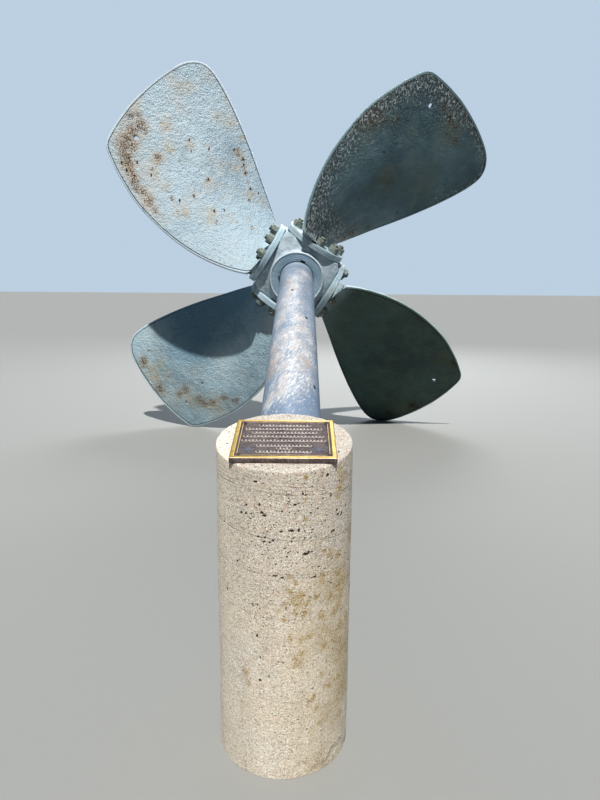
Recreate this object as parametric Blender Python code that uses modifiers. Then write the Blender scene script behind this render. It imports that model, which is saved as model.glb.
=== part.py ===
"""A four-bladed ship's propeller standing as a monument on its tail shaft and a concrete pier.

The shaft slopes down from the hub into the pier, and the two lower blades stand on the ground,
so the propeller rests on three points. The pier's sloped top carries a bronze tablet.

Frame: metres, +Z up. The origin is the centre of the pier's base, on the ground. +Y runs from
the pier to the propeller, and a reader of the tablet looks along +Y with +X on the right.
"""

import math

import bmesh
import bpy
import numpy as np
from mathutils import Matrix, Vector

# Pier and tablet
PIER_DIAMETER = 0.457
PIER_HEIGHT = 1.105
PIER_TOP_SLOPE = math.radians(9.8)
PIER_EDGE_BEVEL = 0.006
PIER_SIDES = 56
TABLET_WIDTH = 0.335
TABLET_LENGTH = 0.304
TABLET_THICKNESS = 0.018
TABLET_FORWARD = 0.023
TABLET_BEVEL = 0.004
TABLET_SCREW_INSET = 0.026
TABLET_SCREW_HEAD = 0.022
TABLET_SCREW_HEAD_HEIGHT = 0.006
TABLET_SCREW_SHANK = 0.008
TABLET_SCREW_LENGTH = 0.055

# Tail shaft
SHAFT_DIAMETER = 0.311
SHAFT_SLOPE = math.radians(13.7)
SHAFT_COVER_IN_PIER = 0.16
SHAFT_TAPER = 1 / 12
SHAFT_THREAD_DIAMETER = 0.19
SHAFT_THREAD_PROUD = 0.045
SHAFT_SIDES = 48
HUB_DISTANCE = 4.323

# Hub
HUB_WALL_AROUND_STUDS = 0.003
HUB_SEAT_DISTANCE = 0.31
HUB_FRONT = 0.37
HUB_AFT = 0.37
HUB_BARREL_FRONT = 0.27
HUB_BARREL_AFT = 0.16
BOSS_RADIUS = 0.252
BOSS_FOOT_RADIUS = 0.295
BOSS_HEIGHT = 0.05
BOSS_RECESS_RADIUS = 0.205
BOSS_RECESS_DEPTH = 0.018
AFT_BOSS_RADIUS = 0.26
HUB_LIP = 0.008
HUB_SIDES = 48

# Key between the shaft and the hub
KEY_WIDTH = 0.044
KEY_HEIGHT_ABOVE_SHAFT = 0.022
KEY_DEPTH_IN_SHAFT = 0.02
KEY_LENGTH = 0.50
KEY_SETBACK = 0.05
KEY_ANGLE = math.radians(-20)

# Propeller nut behind the hub
NUT_ACROSS_FLATS = 0.34
NUT_LENGTH = 0.15
NUT_BEVEL = 0.012

# Blades
BLADE_COUNT = 4
FIRST_BLADE = math.radians(45)
PROPELLER_DIAMETER = 4.267
PITCH = 4.43
RAKE = 0.059
BLADE_EDGE_THICKNESS = 0.022
BLADE_ROOT_THICKNESS = 0.17
ROOT_SHARE_ON_FACE = 0.62
BLADE_ROWS = 26
BLADE_COLUMNS = 8
LIFTING_HOLE_DIAMETER = 0.045
LIFTING_HOLE_DISTANCE = 1.905
LIFTING_HOLE_AHEAD = 0.12
LIFTING_HOLE_SIDES = 12

# Leading and trailing edge of the expanded blade, from the root to the middle of the tip: share of
# the way from the root section to the tip, and distance ahead of or behind the blade's radial line.
ROOT_ABOVE_SEAT = 0.05
LEADING_EDGE = (
    (0, 0.33),
    (0.014, 0.39),
    (0.036, 0.505),
    (0.244, 0.60),
    (0.462, 0.635),
    (0.686, 0.595),
    (0.829, 0.508),
    (0.915, 0.433),
    (0.979, 0.35),
    (0.993, 0.203),
    (1, -0.08),
)
TRAILING_EDGE = (
    (0, -0.12),
    (0.014, -0.17),
    (0.043, -0.28),
    (0.301, -0.483),
    (0.508, -0.64),
    (0.720, -0.779),
    (0.863, -0.846),
    (0.938, -0.837),
    (0.981, -0.739),
    (0.995, -0.559),
    (1, -0.08),
)

# Palm at the root of each blade, and the studs that hold it
PALM_GAP = 0.01
PALM_THICKNESS = 0.058
PALM_BEVEL = 0.006
PALM_FORWARD = 0.07
PALM_LEAD = math.radians(10)
PALM_SIDES = 48
STUD_TO_PALM_EDGE = 0.068
STUDS_A_SIDE = 3
FIRST_STUD = math.radians(-4)
STUD_SPACING = math.radians(-40)
STUD_DIAMETER = 0.05
STUD_PROUD = 0.022
STUD_DEPTH_IN_HUB = 0.06
STUD_SIDES = 8
STUD_NUT_ACROSS_FLATS = 0.088
STUD_NUT_HEIGHT = 0.058

CLEARANCE = 0.0003
CUT_OVERSHOOT = 0.05

COLLECTION = "propeller_monument"
CUTTERS = "cutters"


def clear_scene():
    for thing in list(bpy.data.objects):
        bpy.data.objects.remove(thing)


def collection(name):
    found = bpy.data.collections.get(name)
    if found is None:
        found = bpy.data.collections.new(name)
        bpy.context.scene.collection.children.link(found)
    return found


def material(name, colour, roughness, metallic):
    made = bpy.data.materials.new(name)
    made.use_nodes = True
    shader = made.node_tree.nodes["Principled BSDF"]
    shader.inputs["Base Color"].default_value = (*colour, 1)
    shader.inputs["Roughness"].default_value = roughness
    shader.inputs["Metallic"].default_value = metallic
    return made


def link(name, mesh, finish, parent=None, matrix=None):
    """A named piece in the object's collection, placed by its matrix under its parent."""
    piece = bpy.data.objects.new(name, mesh)
    collection(COLLECTION).objects.link(piece)
    if not mesh.materials:
        mesh.materials.append(finish)
    piece.parent = parent
    if matrix is not None:
        piece.matrix_local = matrix
    return piece


def cutter(name, mesh, parent=None, matrix=None):
    made = bpy.data.objects.new(name, mesh)
    collection(CUTTERS).objects.link(made)
    made.hide_render = True
    made.display_type = "WIRE"
    made.parent = parent
    if matrix is not None:
        made.matrix_local = matrix
    return made


def boolean(piece, other, operation):
    modifier = piece.modifiers.new(other.name, "BOOLEAN")
    modifier.operation = operation
    modifier.object = other
    modifier.solver = "EXACT"


def bevel(piece, width, segments=2, angle=30):
    modifier = piece.modifiers.new("rounded edges", "BEVEL")
    modifier.width = width
    modifier.segments = segments
    modifier.limit_method = "ANGLE"
    modifier.angle_limit = math.radians(angle)


def smooth(mesh, angle=35):
    mesh.shade_smooth()
    mesh.set_sharp_from_angle(angle=math.radians(angle))


def mesh_from(name, build):
    """A mesh made by a function that fills a bmesh."""
    work = bmesh.new()
    build(work)
    mesh = bpy.data.meshes.new(name)
    work.to_mesh(mesh)
    work.free()
    return mesh


def prism(work, radius, low, high, sides, placed=None, turn=0.0):
    """A closed prism along Z between two heights, its corners on the radius."""
    middle = Matrix.Translation((0, 0, (low + high) / 2)) @ Matrix.Rotation(turn, 4, "Z")
    bmesh.ops.create_cone(
        work,
        cap_ends=True,
        segments=sides,
        radius1=radius,
        radius2=radius,
        depth=high - low,
        matrix=(placed or Matrix()) @ middle,
    )


def box(work, size, centre=(0, 0, 0)):
    """A block of a size, centred on a point."""
    placed = Matrix.Translation(centre) @ Matrix.Diagonal((*size, 1))
    bmesh.ops.create_cube(work, size=1, matrix=placed)


def turned(name, profile):
    """The profile of a turned piece, from its top down its outer side: (radius, height)."""
    mesh = bpy.data.meshes.new(name)
    points = [(radius, 0, height) for radius, height in profile]
    mesh.from_pydata(points, [(n, n + 1) for n in range(len(points) - 1)], [])
    return mesh


def screw(piece, sides):
    modifier = piece.modifiers.new("turned", "SCREW")
    modifier.steps = sides
    modifier.render_steps = sides
    modifier.use_merge_vertices = True
    modifier.merge_threshold = 0.0001
    modifier.use_smooth_shade = True


def through_points(points, count):
    """A smooth curve through the points, at count places evenly spaced along it."""
    points = np.array(points)
    ends = np.vstack([2 * points[0] - points[1], points, 2 * points[-1] - points[-2]])
    curve = [points[0]]
    for first, start, stop, last in zip(ends, ends[1:], ends[2:], ends[3:]):
        for share in np.linspace(0, 1, 17)[1:]:
            curve.append(
                0.5
                * (
                    2 * start
                    + (stop - first) * share
                    + (2 * first - 5 * start + 4 * stop - last) * share**2
                    + (3 * start - first - 3 * stop + last) * share**3
                )
            )
    curve = np.array(curve)
    steps = np.hypot(*np.diff(curve, axis=0).T)
    along = np.concatenate([[0], np.cumsum(steps)])
    places = np.linspace(0, along[-1], count)
    return np.stack([np.interp(places, along, curve[:, 0]), np.interp(places, along, curve[:, 1])], 1)


def tip_radius():
    return PROPELLER_DIAMETER / 2


def root_radius():
    return HUB_SEAT_DISTANCE + ROOT_ABOVE_SEAT


def edge_curve(edge, count):
    """Places along one edge of the blade: radius from the shaft's axis, and distance ahead."""
    span = tip_radius() - root_radius()
    return through_points([(root_radius() + share * span, ahead) for share, ahead in edge], count)


def blade_thickness(radius):
    """The thickest point of the blade's section at a radius: a straight taper to the tip's edge."""
    share = 1 - radius / tip_radius()
    return BLADE_EDGE_THICKNESS + (BLADE_ROOT_THICKNESS - BLADE_EDGE_THICKNESS) * max(share, 0)


def on_blade(radius, ahead, offset):
    """A point of the screw surface: at a radius, ahead along the section, and off the surface."""
    angle_of_pitch = math.atan2(PITCH, 2 * math.pi * radius)
    round_shaft = ahead * math.cos(angle_of_pitch) - offset * math.sin(angle_of_pitch)
    forward = ahead * math.sin(angle_of_pitch) + offset * math.cos(angle_of_pitch) - RAKE * radius
    turn = round_shaft / radius
    return Vector((radius * math.cos(turn), radius * math.sin(turn), forward))


def blade_section(lead, trail):
    """One section's back and driving face, from lead to trail: the face is flat toward the tip."""
    edge = BLADE_EDGE_THICKNESS / 2
    chord = math.dist(lead, trail)
    inset = min(edge / chord, 0.2)
    between = [inset + (1 - 2 * inset) * n / BLADE_COLUMNS for n in range(BLADE_COLUMNS + 1)]
    shares = [0, 0.2 * inset, *between, 1 - 0.2 * inset, 1]
    back = []
    face = []
    for share in shares:
        radius = lead[0] + (trail[0] - lead[0]) * share
        ahead = lead[1] + (trail[1] - lead[1]) * share
        nearness = min(share, 1 - share)
        rounding = math.sqrt(1 - (1 - min(nearness / inset, 1)) ** 2)
        fullness = (blade_thickness(radius) - 2 * edge) * 4 * share * (1 - share)
        on_face = ROOT_SHARE_ON_FACE * (1 - radius / tip_radius())
        back.append(on_blade(radius, ahead, edge * rounding + fullness * (1 - on_face)))
        face.append(on_blade(radius, ahead, -edge * rounding - fullness * on_face))
    return back, face


def strip(work, first, second):
    """Faces between two rows of as many points, which may share their end points."""
    for n in range(len(first) - 1):
        corners = (first[n], first[n + 1], second[n + 1], second[n])
        work.faces.new(sorted(set(corners), key=corners.index))


def blade_body(work):
    """The blade from its root, sunk in the palm, to the middle of its tip."""
    leading = edge_curve(LEADING_EDGE, BLADE_ROWS + 1)
    trailing = edge_curve(TRAILING_EDGE, BLADE_ROWS + 1)
    backs = []
    faces = []
    for lead, trail in list(zip(leading, trailing))[:-1]:
        back, face = blade_section(tuple(lead), tuple(trail))
        backs.append([work.verts.new(point) for point in back])
        ends = (backs[-1][0], backs[-1][-1])
        faces.append([ends[0], *[work.verts.new(point) for point in face[1:-1]], ends[1]])
    for rows in (backs, faces):
        for lower, upper in zip(rows, rows[1:]):
            strip(work, lower, upper)
    strip(work, backs[0], faces[0])
    strip(work, backs[-1], faces[-1])
    bmesh.ops.triangulate(work, faces=work.faces)
    bmesh.ops.recalc_face_normals(work, faces=work.faces)


def palm_radius():
    """The palms of neighbouring blades almost meet at the hub's corners."""
    return HUB_SEAT_DISTANCE - PALM_GAP


def stud_circle_radius():
    return palm_radius() - STUD_TO_PALM_EDGE


def barrel_radius():
    """The hub's largest radius, which closes the wall outside the stud holes at its corners."""
    outermost = stud_circle_radius() + STUD_DIAMETER / 2
    return math.hypot(HUB_SEAT_DISTANCE, outermost) + HUB_WALL_AROUND_STUDS


def palm_matrix():
    """The palm's own frame in the blade's: X forward, Z out from the shaft's axis."""
    out = Vector((math.cos(PALM_LEAD), math.sin(PALM_LEAD), 0))
    forward = Vector((0, 0, 1))
    across = out.cross(forward)
    turned_frame = Matrix((forward, across, out)).transposed().to_4x4()
    return Matrix.Translation((0, 0, PALM_FORWARD)) @ turned_frame


def stud_places():
    """Where the studs stand on the palm, in the palm's frame, on each side of the blade's root."""
    places = []
    for side in (0, math.pi):
        for number in range(STUDS_A_SIDE):
            bearing = FIRST_STUD + side + number * STUD_SPACING
            circle = stud_circle_radius()
            places.append((circle * math.cos(bearing), -circle * math.sin(bearing)))
    return places


def palm_foot():
    return HUB_SEAT_DISTANCE + CLEARANCE


def lifting_hole(work):
    """A cutter through the blade, square to it, near the leading corner of the tip."""
    over, under = (
        on_blade(LIFTING_HOLE_DISTANCE, LIFTING_HOLE_AHEAD, offset)
        for offset in (CUT_OVERSHOOT, -CUT_OVERSHOOT)
    )
    middle = Matrix.Translation((over + under) / 2)
    turned_to_blade = (over - under).to_track_quat("Z", "Y").to_matrix().to_4x4()
    prism(
        work,
        LIFTING_HOLE_DIAMETER / 2,
        -CUT_OVERSHOOT,
        CUT_OVERSHOOT,
        LIFTING_HOLE_SIDES,
        middle @ turned_to_blade,
    )


def baked(piece, name):
    """The piece's mesh with its modifiers applied. The piece itself is removed."""
    bpy.context.view_layer.update()
    graph = bpy.context.evaluated_depsgraph_get()
    mesh = bpy.data.meshes.new_from_object(piece.evaluated_get(graph))
    mesh.name = name
    bpy.data.objects.remove(piece)
    return mesh


def make_blade_mesh():
    """One casting: the blade and its round palm, with the stud holes through the palm."""
    finish = material("blade_paint", (0.47, 0.53, 0.56), 0.5, 0.0)
    blade = link("blade_pattern", mesh_from("blade", blade_body), finish)

    def disc(work):
        prism(work, palm_radius(), palm_foot(), palm_foot() + PALM_THICKNESS, PALM_SIDES)

    palm = cutter("palm_disc", mesh_from("palm_disc", disc), matrix=palm_matrix())
    bevel(palm, PALM_BEVEL, 1, 60)
    boolean(blade, palm, "UNION")

    def holes(work):
        for x, y in stud_places():
            prism(
                work,
                STUD_DIAMETER / 2 + CLEARANCE,
                HUB_SEAT_DISTANCE - CUT_OVERSHOOT,
                palm_foot() + PALM_THICKNESS + CUT_OVERSHOOT,
                STUD_SIDES,
                Matrix.Translation((x, y, 0)),
            )

    palm_holes = mesh_from("palm_stud_holes", holes)
    boolean(blade, cutter("palm_stud_holes", palm_holes, matrix=palm_matrix()), "DIFFERENCE")
    boolean(blade, cutter("lifting_hole", mesh_from("lifting_hole", lifting_hole)), "DIFFERENCE")
    mesh = baked(blade, "blade_with_palm")
    smooth(mesh)
    return mesh


def blade_angle(number, turn):
    return FIRST_BLADE + turn + number * 2 * math.pi / BLADE_COUNT


def lowest(points, angle):
    """How far below the hub's centre a blade reaches when it is turned to an angle."""
    out = points[:, 0] * math.cos(angle) - points[:, 1] * math.sin(angle)
    heights = math.cos(SHAFT_SLOPE) * out - math.sin(SHAFT_SLOPE) * points[:, 2]
    return float(heights.min())


def standing(mesh):
    """The turn about the shaft that puts both lower blades at one height, and the hub's height then."""
    points = np.empty(len(mesh.vertices) * 3)
    mesh.vertices.foreach_get("co", points)
    points = points.reshape(-1, 3)
    low, high = math.radians(-20), math.radians(20)
    for _ in range(60):
        turn = (low + high) / 2
        if lowest(points, blade_angle(1, turn)) > lowest(points, blade_angle(2, turn)):
            low = turn
        else:
            high = turn
    return turn, -lowest(points, blade_angle(1, turn))


def propeller_matrix(hub_height):
    """The propeller's frame: X up across the shaft, Y to the reader's left, Z along it to the pier."""
    forward = Vector((0, -math.cos(SHAFT_SLOPE), -math.sin(SHAFT_SLOPE)))
    up = Vector((0, -math.sin(SHAFT_SLOPE), math.cos(SHAFT_SLOPE)))
    left = forward.cross(up)
    turned_frame = Matrix((up, left, forward)).transposed().to_4x4()
    return Matrix.Translation((0, HUB_DISTANCE, hub_height)) @ turned_frame


def shaft_end():
    """How far ahead of the hub's centre the shaft ends, inside the pier."""
    return (HUB_DISTANCE + PIER_DIAMETER / 2 - SHAFT_COVER_IN_PIER) / math.cos(SHAFT_SLOPE)


def taper_radius(forward):
    """The shaft's radius in the hub, which narrows from the hub's front face aft."""
    return SHAFT_DIAMETER / 2 - (HUB_FRONT - forward) * SHAFT_TAPER / 2


def aft_face():
    return -HUB_AFT


def make_shaft(axes, finish):
    thread_end = aft_face() - CLEARANCE - NUT_LENGTH - SHAFT_THREAD_PROUD
    profile = (
        (0, shaft_end()),
        (SHAFT_DIAMETER / 2, shaft_end()),
        (SHAFT_DIAMETER / 2, HUB_FRONT),
        (taper_radius(aft_face() + SHAFT_THREAD_PROUD), aft_face() + SHAFT_THREAD_PROUD),
        (SHAFT_THREAD_DIAMETER / 2, aft_face() + SHAFT_THREAD_PROUD),
        (SHAFT_THREAD_DIAMETER / 2, thread_end + NUT_BEVEL),
        (SHAFT_THREAD_DIAMETER / 2 - NUT_BEVEL, thread_end),
        (0, thread_end),
    )
    shaft = link("tail_shaft", turned("tail_shaft", profile), finish, axes)
    screw(shaft, SHAFT_SIDES)
    boolean(shaft, key_cutter(axes, "shaft_keyway", CLEARANCE), "DIFFERENCE")


def key_body(grown):
    """The key's block about the shaft's axis, made larger all round by a clearance."""
    front = HUB_FRONT - KEY_SETBACK
    back = front - KEY_LENGTH
    floor = taper_radius(back) - KEY_DEPTH_IN_SHAFT
    top = SHAFT_DIAMETER / 2 + KEY_HEIGHT_ABOVE_SHAFT
    size = (top - floor + 2 * grown, KEY_WIDTH + 2 * grown, KEY_LENGTH + 2 * grown)
    centre = ((floor + top) / 2, 0, (front + back) / 2)

    def build(work):
        box(work, size, centre)

    return build


def key_turn():
    return Matrix.Rotation(KEY_ANGLE, 4, "Z")


def key_cutter(axes, name, grown):
    return cutter(name, mesh_from(name, key_body(grown)), axes, key_turn())


def make_key(axes, finish):
    return link("shaft_key", mesh_from("shaft_key", key_body(0)), finish, axes, key_turn())


def hub_profile():
    """The hub's outer shape before its seats are cut, from its front face to its aft face."""
    lip = HUB_LIP
    return (
        (0, HUB_FRONT - BOSS_RECESS_DEPTH),
        (BOSS_RECESS_RADIUS, HUB_FRONT - BOSS_RECESS_DEPTH),
        (BOSS_RECESS_RADIUS + lip, HUB_FRONT - lip),
        (BOSS_RADIUS - 2 * lip, HUB_FRONT - lip),
        (BOSS_RADIUS - lip, HUB_FRONT),
        (BOSS_RADIUS, HUB_FRONT - lip),
        (BOSS_RADIUS + lip, HUB_FRONT - BOSS_HEIGHT),
        (BOSS_FOOT_RADIUS, HUB_FRONT - BOSS_HEIGHT - lip),
        (barrel_radius() - 3 * lip, HUB_BARREL_FRONT + lip),
        (barrel_radius(), HUB_BARREL_FRONT - 3 * lip),
        (barrel_radius(), -HUB_BARREL_AFT + 2 * lip),
        (barrel_radius() - 3 * lip, -HUB_BARREL_AFT - 2 * lip),
        (AFT_BOSS_RADIUS + 2 * lip, -HUB_AFT + 4 * lip),
        (AFT_BOSS_RADIUS, -HUB_AFT),
        (0, -HUB_AFT),
    )


def make_hub(axes, turn, finish):
    hub = link("hub", turned("hub", hub_profile()), finish, axes)
    screw(hub, HUB_SIDES)
    first_palm = blade_angle(0, turn) + PALM_LEAD

    def seats(work):
        box(work, (2 * HUB_SEAT_DISTANCE, 2 * HUB_SEAT_DISTANCE, 4 * HUB_FRONT))

    palms = Matrix.Rotation(first_palm, 4, "Z")
    boolean(hub, cutter("hub_seats", mesh_from("hub_seats", seats), axes, palms), "INTERSECT")

    bore_profile = (
        (0, HUB_FRONT + CUT_OVERSHOOT),
        (SHAFT_DIAMETER / 2 + CLEARANCE, HUB_FRONT + CUT_OVERSHOOT),
        (SHAFT_DIAMETER / 2 + CLEARANCE, HUB_FRONT),
        (taper_radius(aft_face() - CUT_OVERSHOOT) + CLEARANCE, aft_face() - CUT_OVERSHOOT),
        (0, aft_face() - CUT_OVERSHOOT),
    )
    bore = cutter("hub_bore", turned("hub_bore", bore_profile), axes)
    screw(bore, SHAFT_SIDES)

    def keyway(work):
        front = HUB_FRONT + CUT_OVERSHOOT
        back = HUB_FRONT - KEY_SETBACK - KEY_LENGTH - CLEARANCE
        top = SHAFT_DIAMETER / 2 + KEY_HEIGHT_ABOVE_SHAFT + CLEARANCE
        size = (top, KEY_WIDTH + 2 * CLEARANCE, front - back)
        box(work, size, (top / 2, 0, (front + back) / 2))

    boolean(bore, cutter("hub_keyway", mesh_from("hub_keyway", keyway), axes, key_turn()), "UNION")
    boolean(hub, bore, "DIFFERENCE")

    def stud_holes(work):
        for number in range(BLADE_COUNT):
            palm = Matrix.Rotation(blade_angle(number, turn), 4, "Z") @ palm_matrix()
            for x, y in stud_places():
                prism(
                    work,
                    STUD_DIAMETER / 2 + CLEARANCE,
                    HUB_SEAT_DISTANCE - STUD_DEPTH_IN_HUB - CLEARANCE,
                    HUB_SEAT_DISTANCE + CUT_OVERSHOOT,
                    STUD_SIDES,
                    palm @ Matrix.Translation((x, y, 0)),
                )

    holes = mesh_from("hub_stud_holes", stud_holes)
    boolean(hub, cutter("hub_stud_holes", holes, axes), "DIFFERENCE")


def make_stud_mesh(finish):
    """A stud with its nut, standing on the palm, with its end proud of the nut."""
    seat = palm_foot() + PALM_THICKNESS + CLEARANCE
    top = seat + STUD_NUT_HEIGHT

    def nut(work):
        prism(work, STUD_NUT_ACROSS_FLATS / math.sqrt(3), seat, top, 6)

    def shank(work):
        foot = HUB_SEAT_DISTANCE - STUD_DEPTH_IN_HUB
        prism(work, STUD_DIAMETER / 2, foot, top + STUD_PROUD, STUD_SIDES)

    stud = link("stud_pattern", mesh_from("stud_nut", nut), finish)
    boolean(stud, cutter("stud_shank", mesh_from("stud_shank", shank)), "UNION")
    return baked(stud, "palm_stud")


def make_propeller_nut(axes, finish):
    def build(work):
        radius = NUT_ACROSS_FLATS / math.sqrt(3)
        front = aft_face() - CLEARANCE
        prism(work, radius, front - NUT_LENGTH, front, 6)

    nut = link("propeller_nut", mesh_from("propeller_nut", build), finish, axes)
    bevel(nut, NUT_BEVEL, 1, 40)

    def bore(work):
        low = aft_face() - NUT_LENGTH - CUT_OVERSHOOT
        radius = SHAFT_THREAD_DIAMETER / 2 + CLEARANCE
        prism(work, radius, low, aft_face() + CUT_OVERSHOOT, SHAFT_SIDES)

    boolean(nut, cutter("nut_bore", mesh_from("nut_bore", bore), axes), "DIFFERENCE")


def tablet_matrix():
    """The tablet's frame on the pier's sloped top: X to the right, Y up the slope, Z off the top."""
    top = Matrix.Translation((0, 0, PIER_HEIGHT)) @ Matrix.Rotation(PIER_TOP_SLOPE, 4, "X")
    return top @ Matrix.Translation((0, -TABLET_FORWARD, CLEARANCE))


def tablet_screw_places():
    x = TABLET_WIDTH / 2 - TABLET_SCREW_INSET
    y = TABLET_LENGTH / 2 - TABLET_SCREW_INSET
    return ((-x, -y), (x, -y), (x, y), (-x, y))


def tablet_holes(low, high):
    def build(work):
        radius = TABLET_SCREW_SHANK / 2 + CLEARANCE
        for x, y in tablet_screw_places():
            prism(work, radius, low, high, 8, Matrix.Translation((x, y, 0)))

    return build


def make_pier(axes, finish):
    def build(work):
        prism(work, PIER_DIAMETER / 2, 0, PIER_HEIGHT, PIER_SIDES, turn=math.pi / PIER_SIDES)
        for vertex in work.verts:
            if vertex.co.z > PIER_HEIGHT / 2:
                vertex.co.z = PIER_HEIGHT + vertex.co.y * math.tan(PIER_TOP_SLOPE)

    pier = link("concrete_pier", mesh_from("concrete_pier", build), finish)
    bevel(pier, PIER_EDGE_BEVEL, 1, 60)

    def socket(work):
        far = HUB_DISTANCE / math.cos(SHAFT_SLOPE) - PIER_DIAMETER
        radius = SHAFT_DIAMETER / 2 + CLEARANCE
        prism(work, radius, far, shaft_end() + CLEARANCE, SHAFT_SIDES)

    boolean(pier, cutter("shaft_socket", mesh_from("shaft_socket", socket), axes), "DIFFERENCE")
    depth = TABLET_THICKNESS - TABLET_SCREW_LENGTH - CLEARANCE
    holes = mesh_from("pier_screw_holes", tablet_holes(depth, CUT_OVERSHOOT))
    boolean(pier, cutter("pier_screw_holes", holes, matrix=tablet_matrix()), "DIFFERENCE")


def make_tablet(finish):
    def build(work):
        size = (TABLET_WIDTH, TABLET_LENGTH, TABLET_THICKNESS)
        box(work, size, (0, 0, TABLET_THICKNESS / 2))

    tablet = link("tablet", mesh_from("tablet", build), finish, matrix=tablet_matrix())
    bevel(tablet, TABLET_BEVEL)
    through = tablet_holes(-CUT_OVERSHOOT, TABLET_THICKNESS + CUT_OVERSHOOT)
    holes = mesh_from("tablet_screw_holes", through)
    boolean(tablet, cutter("tablet_screw_holes", holes, matrix=tablet_matrix()), "DIFFERENCE")
    return tablet


def make_tablet_screws(tablet, finish):
    seat = TABLET_THICKNESS + CLEARANCE
    foot = TABLET_THICKNESS - TABLET_SCREW_LENGTH
    profile = (
        (0, seat + TABLET_SCREW_HEAD_HEIGHT),
        (TABLET_SCREW_HEAD * 0.3, seat + TABLET_SCREW_HEAD_HEIGHT),
        (TABLET_SCREW_HEAD / 2, seat + TABLET_SCREW_HEAD_HEIGHT / 3),
        (TABLET_SCREW_HEAD / 2, seat),
        (TABLET_SCREW_SHANK / 2, seat),
        (TABLET_SCREW_SHANK / 2, foot),
        (0, foot),
    )
    mesh = turned("tablet_screw", profile)
    names = ("front_left", "front_right", "back_right", "back_left")
    for name, (x, y) in zip(names, tablet_screw_places()):
        piece = link(f"tablet_screw_{name}", mesh, finish, tablet, Matrix.Translation((x, y, 0)))
        screw(piece, 8)


def main():
    clear_scene()
    concrete = material("concrete", (0.42, 0.34, 0.24), 0.9, 0.0)
    bronze = material("bronze", (0.20, 0.15, 0.10), 0.45, 0.9)
    brass = material("brass", (0.60, 0.45, 0.22), 0.35, 1.0)
    shaft_paint = material("shaft_paint", (0.45, 0.47, 0.55), 0.5, 0.0)
    hub_paint = material("hub_paint", (0.40, 0.47, 0.54), 0.5, 0.0)
    steel = material("weathered_steel", (0.22, 0.21, 0.17), 0.6, 0.6)

    blade_mesh = make_blade_mesh()
    turn, hub_height = standing(blade_mesh)
    axes = bpy.data.objects.new("propeller_axes", None)
    collection(COLLECTION).objects.link(axes)
    axes.matrix_world = propeller_matrix(hub_height)

    make_pier(axes, concrete)
    tablet = make_tablet(bronze)
    make_tablet_screws(tablet, brass)
    make_shaft(axes, shaft_paint)
    make_key(axes, steel)
    make_hub(axes, turn, hub_paint)
    make_propeller_nut(axes, steel)
    stud_mesh = make_stud_mesh(steel)
    names = ("upper_left", "lower_left", "lower_right", "upper_right")
    for number, name in enumerate(names):
        angle = Matrix.Rotation(blade_angle(number, turn), 4, "Z")
        blade = link(f"blade_{name}", blade_mesh, None, axes, angle)
        for place, (x, y) in enumerate(stud_places(), start=1):
            where = palm_matrix() @ Matrix.Translation((x, y, 0))
            link(f"stud_{name}_{place}", stud_mesh, None, blade, where)
    print(f"turn {math.degrees(turn):.2f} degrees, hub height {hub_height:.3f} m")


main()
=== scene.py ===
# %% [markdown]
# # A ship's propeller standing as a monument
#
# The real object is a cast, four-bladed propeller whose blades are bolted to their hub. It still
# sits on its tail shaft. The shaft slopes down into a round concrete pier with a bronze tablet on
# top, and the two lower blades stand on the ground. Paint, rust, lichen and worn edges carry most
# of its looks, so this lesson spends more lines on surfaces than on shapes.
#
# The CAD model gives every place and size. Each step below makes a finer casting in the place of
# one CAD piece, and then its finish.

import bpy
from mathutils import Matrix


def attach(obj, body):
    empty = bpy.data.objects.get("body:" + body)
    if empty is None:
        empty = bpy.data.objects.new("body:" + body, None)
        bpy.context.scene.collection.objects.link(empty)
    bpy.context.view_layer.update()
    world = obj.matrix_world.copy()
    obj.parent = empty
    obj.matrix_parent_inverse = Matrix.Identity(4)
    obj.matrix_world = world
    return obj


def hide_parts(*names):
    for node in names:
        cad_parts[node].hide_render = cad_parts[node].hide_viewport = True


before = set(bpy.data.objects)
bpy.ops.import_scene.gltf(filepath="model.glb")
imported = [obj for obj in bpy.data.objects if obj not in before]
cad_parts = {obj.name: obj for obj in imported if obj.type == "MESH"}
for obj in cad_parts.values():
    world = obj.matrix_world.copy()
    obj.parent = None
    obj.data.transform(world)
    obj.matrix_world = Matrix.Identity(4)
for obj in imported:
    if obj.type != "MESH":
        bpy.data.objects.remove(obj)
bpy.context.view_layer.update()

# %% [markdown]
# The lesson builds its meshes and finishes through Blender's own modules. NumPy works out whole
# rows of points at once, which keeps the formulas short and quick.

# %% The modules that the lesson uses
import math

import bmesh
import bpy
import numpy as np
from mathutils import Matrix, Vector, noise
from mathutils.kdtree import KDTree

print("Blender", bpy.app.version_string)

# %% [markdown]
# ## The camera
#
# The camera stands at eye height, two metres in front of the pier, and looks slightly down. Its
# place, turn and focal length come from fitting the outlines of the blades, the shaft and the pier
# to the photograph. A fitted camera comes first, because every later judgement of size or colour
# is made through it.

# %% Place the camera
EYE = Vector((0.0552, -2.0303, 1.64))
EYE_TURN = (78.8717, -0.4085, 0.2182)
FOCAL_PIXELS = 627.3
PICTURE_HEIGHT = 800
SENSOR_WIDTH = 36

camera = bpy.data.objects.new("camera", bpy.data.cameras.new("camera"))
bpy.context.scene.collection.objects.link(camera)
camera.location = EYE
camera.rotation_euler = [math.radians(angle) for angle in EYE_TURN]
camera.data.sensor_width = SENSOR_WIDTH
camera.data.lens = FOCAL_PIXELS * SENSOR_WIDTH / PICTURE_HEIGHT
bpy.context.scene.camera = camera
print(f"lens {camera.data.lens:.2f} mm")

# %% [markdown]
# ## The studio
#
# The floor is one pale sheet that reaches far past the object. It lies a millimetre low, where it
# can't flicker against the feet of the pier and the blades.

# %% Lay the floor
FLOOR_GREY = (0.30, 0.30, 0.29, 1)
FLOOR_ROUGHNESS = 0.9
FLOOR_REACH = 60
FLOOR_DROP = 0.001


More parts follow.
